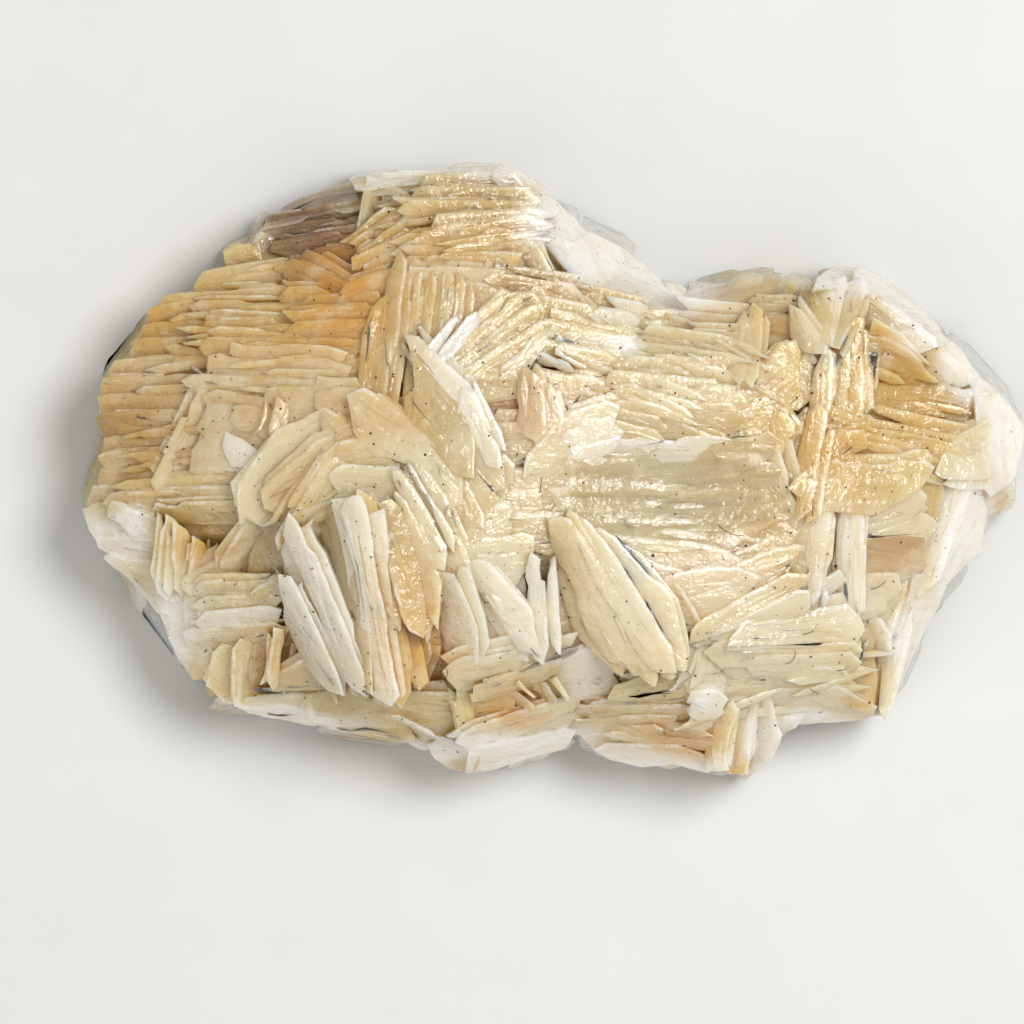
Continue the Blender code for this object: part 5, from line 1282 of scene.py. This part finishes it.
# Frosted white where the cluster is massive: patches along the outline
FROSTED = [
    (2, 32, 7, 6), (8, 27, 7, 5), (15, 23, 6, 3), (-8, 39, 8, 2.5), (-22, 38.5, 9, 1.8),
    (-40.5, 32.0, 3, 1.2), (40, 25, 6, 3), (48, 20, 7, 4), (55, 13, 6, 5), (59, 4, 4, 8), (53, -10, 4.5, 11),
    (46, -24, 4, 10), (-4, -36, 10, 3), (-16, -36, 6, 2), (27, -35, 2.4, 5), (19.5, -29.5, 2, 1.6),
    (8.5, 17.5, 1.8, 1.8), (-57, -9, 4, 4), (-50, -22, 4, 9), (-36, -32, 12, 2),
    (12, -38, 12, 1.8), (33, -32, 8, 1.6),
]


# Joining


def grow_together(base, others):
    """One skin round the base and all the crystals, so that the milky light passes through one mass."""
    join = base.modifiers.new("grown_together", "BOOLEAN")
    join.operation = "UNION"
    join.solver = "MANIFOLD"
    join.operand_type = "COLLECTION"
    join.collection = others
    graph = bpy.context.evaluated_depsgraph_get()
    mesh = bpy.data.meshes.new_from_object(base.evaluated_get(graph))
    base.modifiers.clear()
    base.data = mesh
    for obj in list(others.objects):
        bpy.data.objects.remove(obj, do_unlink=True)
    bpy.data.collections.remove(others)
    return mesh


def points_of(mesh):
    """The mesh's vertices as rows of x, y and z."""
    points = np.empty(len(mesh.vertices) * 3, np.float32)
    mesh.vertices.foreach_get("co", points)
    return points.reshape(-1, 3)


def eased(value, low, high):
    """0 at low and 1 at high, with a soft start and end."""
    share = np.clip((value - low) / (high - low), 0.0, 1.0)
    return share * share * (3.0 - 2.0 * share)


def blend(colours, colour, share):
    """Each colour moved that share of the way to one colour."""
    return colours + (np.array(rgb(*colour)[:3]) - colours) * share[:, None]


def softened(colours, places):
    """The mean colour around each place, from cells in the plan blurred into each other."""
    columns = ((places[:, 0] + 66.0) / BLEND_CELL).astype(int)
    rows = ((places[:, 1] + 46.0) / BLEND_CELL).astype(int)
    sums = np.zeros((int(132.0 / BLEND_CELL) + 2, int(92.0 / BLEND_CELL) + 2, 4))
    np.add.at(sums, (columns, rows), np.column_stack([colours, np.ones(len(colours))]))
    for _ in range(2):
        for axis in (0, 1):
            sums = 0.5 * sums + 0.25 * (np.roll(sums, 1, axis) + np.roll(sums, -1, axis))
    means = sums[..., :3] / np.maximum(sums[..., 3:], 1e-6)
    return means[columns, rows]


def paint(mesh):
    """Gives each corner its colour: the crystal's own tone, painted light towards each crest, painted shade
    down each face and in the recesses, honey clouding, stains and pale zones.
    """
    points = points_of(mesh).astype(np.float64)
    spots = [Vector(point) * DRIFT_SCALE for point in points]
    drift = DRIFT_REACH * np.array([(noise.noise(spot), noise.noise(spot + DRIFT_SHIFT)) for spot in spots])
    cloud = np.array([noise.noise(Vector(point) * 0.09) for point in points])
    corners = np.empty(len(mesh.loops), np.int32)
    mesh.loops.foreach_get("vertex_index", corners)
    totals = np.empty(len(mesh.polygons), np.int32)
    mesh.polygons.foreach_get("loop_total", totals)
    tone = np.empty(len(mesh.polygons), np.float32)
    mesh.attributes["tone"].data.foreach_get("value", tone)
    tone = np.repeat(tone, totals)
    low = np.empty(len(mesh.vertices), np.float32)
    mesh.attributes["low"].data.foreach_get("value", low)
    low = low[corners].astype(np.float64)
    depth = (crest_height(points[:, 0], points[:, 1]) - points[:, 2])[corners]
    outer = outline_share(points[:, 0], points[:, 1])[corners]
    x, y = (points[:, 0] + drift[:, 0])[corners], (points[:, 1] + drift[:, 1])[corners]

    table = np.array([rgb(*TONES[name])[:3] for name in TONE_NAMES])
    number = np.clip(np.floor(tone).astype(int), 0, len(table) - 1)
    colours = table[number] * (0.9 + 0.1 * (tone - number))[:, None]
    clear = np.array([MILK_AND_SHADE_SHARE.get(name, 1.0) for name in TONE_NAMES])[number]
    dark = np.array([0.35 if name in DARK_TONES else 1.0 for name in TONE_NAMES])[number]
    # Painted light: each face lighter towards its crest, less so for the dark tones.
    colours = blend(colours, CREST_LIGHT, 0.3 * dark * eased(low, 0.5, 0.0))
    # Painted shade: each face darker and warmer towards its lower edge, where it dips under its neighbour.
    colours = blend(colours, HONEY_AND_SHADE, 0.35 * clear * eased(low, 0.5, 1.0))
    # Honey clouding at random, the crystal's own tone.
    colours = blend(colours, HONEY_AND_SHADE, 0.3 * clear * eased(cloud[corners], -0.1, 0.4))
    # Painted shade: darker and warmer in the recesses below the crests, faded out near the outline.
    deep = eased(depth, 1.2, 4.0) * eased(outer, 1.0, 0.9)
    colours = blend(colours, HONEY_AND_SHADE, 0.65 * np.maximum(clear, 0.6) * deep)
    colours = colours * (1.0 - clear[:, None] * (1.0 - np.array(MILK)))
    for colour, strength, patches in STAINS:
        mask = np.zeros(len(corners))
        for cx, cy, rx, ry in patches:
            mask = np.maximum(mask, eased(np.hypot((x - cx) / rx, (y - cy) / ry), 1.35, 0.45))
        colours = blend(colours, colour, strength * mask)
    colours += BLEND_SHARE * (softened(colours, points[corners]) - colours)
    mask = np.zeros(len(corners))
    for cx, cy, rx, ry in FROSTED:
        mask = np.maximum(mask, eased(np.hypot((x - cx) / rx, (y - cy) / ry), 1.3, 0.6))
    colours = blend(colours, TONES["white"], 0.85 * mask)
    layer = mesh.color_attributes.new("tint", "FLOAT_COLOR", "CORNER")
    opaque = np.column_stack([colours, np.ones(len(corners))])
    layer.data.foreach_set("color", opaque.astype(np.float32).ravel())


def settle(mesh):
    """Lifts what dips below the floor, applies the solid model's centring, and turns it into metres."""
    points = points_of(mesh)
    points[:, 2] = np.maximum(points[:, 2], 0.0)
    points[:, 0] += CENTRING[0]
    points[:, 1] += CENTRING[1]
    mesh.vertices.foreach_set("co", (points * MM).ravel())
    mesh.polygons.foreach_set("use_smooth", np.ones(len(mesh.polygons), bool))
    mesh.set_sharp_from_angle(angle=math.radians(SHARP_ANGLE))
    mesh.update()


def build_cluster():
    """The whole cluster as one coloured skin."""
    rng = random.Random(SEED + 5)
    grown = bpy.data.collections.new("growing blades")
    bpy.context.scene.collection.children.link(grown)
    add_faces(grown, rng)
    add_side_blades(grown, rng)
    add_strands(grown, random.Random(SEED + 3))
    for number, lump in enumerate(LUMPS):
        grown.objects.link(bpy.data.objects.new("lump", lump_mesh(*lump)))
    grown.objects.link(bpy.data.objects.new("hollow", hollow_mesh()))
    cluster = bpy.data.objects.new("barite_crystals", base_mesh())
    bpy.context.scene.collection.objects.link(cluster)
    mesh = grow_together(cluster, grown)
    paint(mesh)
    settle(mesh)
    return cluster


# Materials


class Nodes:
    """Short ways to add and link shader nodes."""

    def __init__(self, name):
        self.material = bpy.data.materials.new(name)
        self.material.use_nodes = True
        self.tree = self.material.node_tree
        self.shader = self.tree.nodes["Principled BSDF"]

    def add(self, kind, inputs=None, **settings):
        node = self.tree.nodes.new(kind)
        for key, value in settings.items():
            setattr(node, key, value)
        for key, value in (inputs or {}).items():
            self.feed(node.inputs[key], value)
        return node

    def feed(self, socket, value):
        if isinstance(value, bpy.types.NodeSocket):
            self.tree.links.new(value, socket)
        else:
            socket.default_value = value

    def math(self, operation, a, b=0.0, c=0.0, clamp=False):
        node = self.add("ShaderNodeMath", {0: a, 1: b, 2: c}, operation=operation, use_clamp=clamp)
        return node.outputs[0]

    def vector(self, operation, a, b):
        return self.add("ShaderNodeVectorMath", {0: a, 1: b}, operation=operation).outputs[0]

    def noise(self, vector, scale, detail=3.0, roughness=0.5):
        inputs = {"Vector": vector, "Scale": scale, "Detail": detail, "Roughness": roughness}
        return self.add("ShaderNodeTexNoise", inputs).outputs["Fac"]

    def ramp(self, value, low, high, start=0.0, end=1.0):
        inputs = {"Value": value, 1: low, 2: high, 3: start, 4: end}
        return self.add("ShaderNodeMapRange", inputs, interpolation_type="SMOOTHSTEP").outputs[0]

    def mix(self, factor, a, b, blend="MIX"):
        node = self.add("ShaderNodeMix", data_type="RGBA", blend_type=blend)
        self.feed(node.inputs[0], factor)
        self.feed(node.inputs[6], a)
        self.feed(node.inputs[7], b)
        return node.outputs[2]

    def attribute(self, name):
        return self.add("ShaderNodeAttribute", attribute_name=name)


def barite_material():
    """Milky barite: cream to honey within, frosted white on the rims, with fine grain along each blade."""
    nodes = Nodes("barite")
    place = nodes.add("ShaderNodeTexCoord").outputs["Object"]
    place = nodes.vector("MULTIPLY", place, (1.0 / MM,) * 3)
    grain = nodes.add("ShaderNodeUVMap", uv_map="grain").outputs[0]
    fine = nodes.noise(nodes.vector("MULTIPLY", grain, (0.22, 3.6, 1.0)), 1.0, 3.0, 0.6)
    bands = nodes.noise(nodes.vector("MULTIPLY", grain, (0.06, 0.9, 1.0)), 1.0, 2.0)
    grit = nodes.noise(place, 2.4, 2.0, 0.7)
    rim = nodes.attribute("rim").outputs["Fac"]
    body = nodes.attribute("tint").outputs["Color"]
    body = nodes.mix(nodes.math("MULTIPLY", nodes.ramp(bands, 0.45, 0.7), 0.16), body, rgb(196, 164, 104))
    patchy = nodes.ramp(nodes.noise(place, 0.35, 3.0), 0.42, 0.62, 0.12, 1.0)
    frost = nodes.math("MULTIPLY", nodes.ramp(rim, 0.15, 0.8), nodes.ramp(grit, 0.3, 0.6, 0.3), clamp=True)
    frost = nodes.math("MULTIPLY", frost, patchy)
    veil = nodes.ramp(nodes.noise(place, 0.22, 4.0, 0.62), 0.46, 0.7, 0.0, 0.42)
    body = nodes.mix(veil, body, rgb(226, 212, 178))
    body = nodes.mix(nodes.math("MULTIPLY", frost, 0.55), body, rgb(246, 241, 230))
    body = nodes.mix(nodes.math("MULTIPLY", nodes.ramp(fine, 0.52, 0.8), 0.24), body, rgb(238, 226, 196))
    cells = nodes.add("ShaderNodeTexVoronoi", {"Vector": place, "Scale": 0.62, "Randomness": 1.0})
    size = nodes.math("MULTIPLY", nodes.noise(place, 0.5, 1.0), 0.17)
    dots = nodes.math("LESS_THAN", cells.outputs["Distance"], size)
    body = nodes.mix(nodes.math("MULTIPLY", dots, 0.55), body, rgb(128, 98, 62))

    nodes.feed(nodes.shader.inputs["Base Color"], body)
    rough = nodes.math("ADD", nodes.math("MULTIPLY", grit, 0.34), 0.02)
    nodes.feed(nodes.shader.inputs["Roughness"], nodes.math("ADD", rough, nodes.math("MULTIPLY", frost, 0.2)))
    nodes.shader.inputs["IOR"].default_value = 1.64
    nodes.shader.inputs["Coat Weight"].default_value = 0.3
    nodes.shader.inputs["Coat Roughness"].default_value = 0.18
    nodes.shader.inputs["Coat IOR"].default_value = 1.5
    nodes.shader.inputs["Subsurface Weight"].default_value = 1.0
    nodes.shader.inputs["Subsurface Radius"].default_value = (1.0, 0.88, 0.7)
    nodes.shader.inputs["Subsurface Scale"].default_value = 0.005
    uneven = nodes.noise(place, 0.7, 2.0, 0.6)
    height = nodes.math("ADD", nodes.math("MULTIPLY", fine, 0.55), nodes.math("MULTIPLY", uneven, 3.2))
    height = nodes.math("ADD", height, nodes.math("MULTIPLY", grit, 0.55))
    bump = nodes.add("ShaderNodeBump", {"Height": height, "Strength": 0.6, "Distance": 0.22 * MM})
    nodes.feed(nodes.shader.inputs["Normal"], bump.outputs[0])
    return nodes.material


def plain_material(name, colour, roughness):
    """Dust or fibre: one colour broken up by fine noise."""
    nodes = Nodes(name)
    place = nodes.add("ShaderNodeTexCoord").outputs["Object"]
    mottle = nodes.noise(place, 1800.0, 2.0)
    dark = tuple(0.55 * value for value in colour[:3]) + (1.0,)
    nodes.feed(nodes.shader.inputs["Base Color"], nodes.mix(mottle, dark, colour))
    nodes.shader.inputs["Roughness"].default_value = roughness
    return nodes.material


def floor_material():
    """Plain pale floor with a faint mottle."""
    nodes = Nodes("pale_floor")
    place = nodes.add("ShaderNodeTexCoord").outputs["Object"]
    mottle = nodes.noise(place, 60.0, 4.0)
    nodes.feed(nodes.shader.inputs["Base Color"], nodes.mix(mottle, rgb(212, 212, 210), rgb(219, 219, 217)))
    nodes.shader.inputs["Roughness"].default_value = 0.7
    return nodes.material


# Dust and fibres


# How many grains there are in all, and the large ones: x, y and size
DUST = 430
DUST_RADIUS = (0.08, 0.2)
BIG_DUST = [
    (12.3, -10.7, 0.6), (34.3, -10.5, 0.4), (27.6, -14.7, 0.4), (1.8, -18.4, 0.35), (-4.7, 2.0, 0.4),
    (-19.3, 14.3, 0.4), (-23.7, 17.3, 0.35), (-22.4, 11.7, 0.35), (28.2, -32.4, 0.45), (34.0, -30.7, 0.4),
    (43.0, -14.0, 0.4), (-38.0, 3.3, 0.35), (-52.3, -5.5, 0.4), (-5.3, 9.6, 0.4), (35.5, -12.0, 0.75),
]
# Fibres: x, y, heading in degrees, length and bend in degrees
LINT = [
    (31.2, -20.6, 20, 1.6, 30), (29.2, -24.4, 60, 2.2, 80), (35.8, -25.3, 10, 1.2, 10),
    (32.4, -27.6, -30, 1.4, 20),
    (32.3, -5.8, 90, 2.2, 15), (-1.9, -2.8, 85, 2.0, 10), (36.3, 2.2, 40, 1.4, 30), (5.0, 11.7, 15, 1.6, 25),
    (-25.0, -18.8, 120, 1.4, 20), (20.5, -6.8, -20, 3.6, 50), (-14.5, -26.8, 70, 2.4, 90),
    (40.0, -15.0, 30, 2.2, 40),
]


def surface_finder(mesh):
    """A function that gives the place of the surface under a point of the plan."""
    tree = BVHTree.FromPolygons([v.co for v in mesh.vertices], [p.vertices[:] for p in mesh.polygons])

    def find(x, y):
        start = Vector(((x + CENTRING[0]) * MM, (y + CENTRING[1]) * MM, 0.1))
        return tree.ray_cast(start, Vector((0, 0, -1)))[:2]

    return find


def grain_shape(centre, radius, rng):
    """A crumb: an octahedron pulled about."""
    turn = Vector([rng.uniform(-1, 1) for _ in range(3)]).to_track_quat("Z", "Y")
    axes = [(1, 0, 0), (0, 1, 0), (-1, 0, 0), (0, -1, 0), (0, 0, 1), (0, 0, -1)]
    points = [centre + turn @ Vector(axis) * radius * rng.uniform(0.6, 1.3) for axis in axes]
    faces = [(0, 1, 4), (1, 2, 4), (2, 3, 4), (3, 0, 4), (1, 0, 5), (2, 1, 5), (3, 2, 5), (0, 3, 5)]
    return points, faces


def joined_piece(name, shapes, material):
    """One piece from many small shapes, riding on the cluster."""
    points, faces = [], []
    for shape_points, shape_faces in shapes:
        first = len(points)
        points += shape_points
        faces += [tuple(first + i for i in face) for face in shape_faces]
    obj = bpy.data.objects.new(name, new_mesh(name, points, faces))
    obj.data.materials.append(material)
    bpy.context.scene.collection.objects.link(obj)
    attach(obj, "root")
    return obj


def add_dust(find):
    """The large grains at their places, and small ones scattered over the crown."""
    rng = random.Random(SEED + 9)
    spots = [(x, y, size / 2) for x, y, size in BIG_DUST]
    while len(spots) < DUST:
        x, y = rng.uniform(-58, 58), rng.uniform(-37, 38)
        if outline_share(x, y) < 0.96:
            spots.append((x, y, rng.uniform(*DUST_RADIUS)))
    shapes = []
    for x, y, radius in spots:
        at, _ = find(x, y)
        if at is not None:
            shapes.append(grain_shape(at, radius * MM, rng))
    joined_piece("dust_grains", shapes, plain_material("dust", rgb(70, 48, 28), 0.8))


def fibre_shape(find, x, y, heading, length, bend):
    """A short fibre, as a thin three-sided tube that follows the surface under it."""
    points, faces = [], []
    steps, radius = 8, 0.05
    angle = math.radians(heading - bend / 2)
    for k in range(steps + 1):
        at, _ = find(x, y)
        if at is None:
            break
        side = Vector((-math.sin(angle), math.cos(angle), 0.0)) * radius * MM
        up = Vector((0, 0, radius * MM))
        points += [at + side, at + up * 3.0, at - side]
        x += math.cos(angle) * length / steps
        y += math.sin(angle) * length / steps
        angle += math.radians(bend / steps)
    rows = len(points) // 3
    for row in range(rows - 1):
        for k in range(3):
            a, b = 3 * row + k, 3 * row + (k + 1) % 3
            faces.append((a, a + 3, b + 3, b))
    return points, faces


def add_lint(find):
    """The stuck fibres, as one piece."""
    shapes = [fibre_shape(find, *fibre) for fibre in LINT]
    joined_piece("lint_fibres", shapes, plain_material("lint", rgb(110, 92, 70), 0.9))


# Stage


FLOOR_REACH = 2.0
LIGHT_TARGET = Vector((0, 0, 0.015))
WORLD_COLOUR = (1.0, 0.99, 0.97, 1.0)
WORLD_STRENGTH = 0.42

# The camera's frame, in metres: how wide it sees at the level of the crystals, and the middle of what it sees
VIEW_WIDTH = 131.4 * MM
VIEW_MIDDLE = (-5.58 * MM, -5.0 * MM)
VIEW_LEVEL = 12.0 * MM
CAMERA_HEIGHT = 0.9


def add_floor():
    reach = FLOOR_REACH
    corners = [(-reach, -reach, 0), (reach, -reach, 0), (reach, reach, 0), (-reach, reach, 0)]
    mesh = new_mesh("floor", corners, [(0, 1, 2, 3)])
    mesh.materials.append(floor_material())
    floor = bpy.data.objects.new("floor", mesh)
    bpy.context.scene.collection.objects.link(floor)


def add_light(name, place, size, power, colour=(1.0, 1.0, 1.0)):
    light = bpy.data.lights.new(name, "AREA")
    light.shape = "DISK"
    light.size = size
    light.energy = power
    light.color = colour
    obj = bpy.data.objects.new(name, light)
    obj.location = place
    obj.rotation_euler = (LIGHT_TARGET - Vector(place)).to_track_quat("-Z", "Y").to_euler()
    bpy.context.scene.collection.objects.link(obj)


def add_lights():
    """A soft key from the upper right, a broad fill from the lower left, and an even pale surround."""
    add_light("key", (0.28, 0.14, 0.66), 0.32, 4.1)
    add_light("fill", (-0.4, -0.45, 0.6), 0.9, 2.0, (1.0, 0.97, 0.93))
    world = bpy.data.worlds.new("studio")
    world.use_nodes = True
    world.node_tree.nodes["Background"].inputs[0].default_value = WORLD_COLOUR
    world.node_tree.nodes["Background"].inputs[1].default_value = WORLD_STRENGTH
    bpy.context.scene.world = world
    bpy.context.scene.view_settings.view_transform = "Standard"


def add_camera():
    """Straight above, through a long lens."""
    camera = bpy.data.cameras.new("camera")
    camera.sensor_width = 36.0
    camera.lens = 36.0 * (CAMERA_HEIGHT - VIEW_LEVEL) / VIEW_WIDTH
    camera.clip_start = 0.01
    obj = bpy.data.objects.new("camera", camera)
    obj.location = (*VIEW_MIDDLE, CAMERA_HEIGHT)
    bpy.context.scene.collection.objects.link(obj)
    bpy.context.scene.camera = obj


def main():
    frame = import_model()
    cluster = build_cluster()
    cluster.data.materials.clear()
    cluster.data.materials.append(barite_material())
    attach(cluster, "root")
    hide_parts("barite_cluster")
    find = surface_finder(cluster.data)
    add_dust(find)
    add_lint(find)
    add_floor()
    add_lights()
    add_camera()


main()
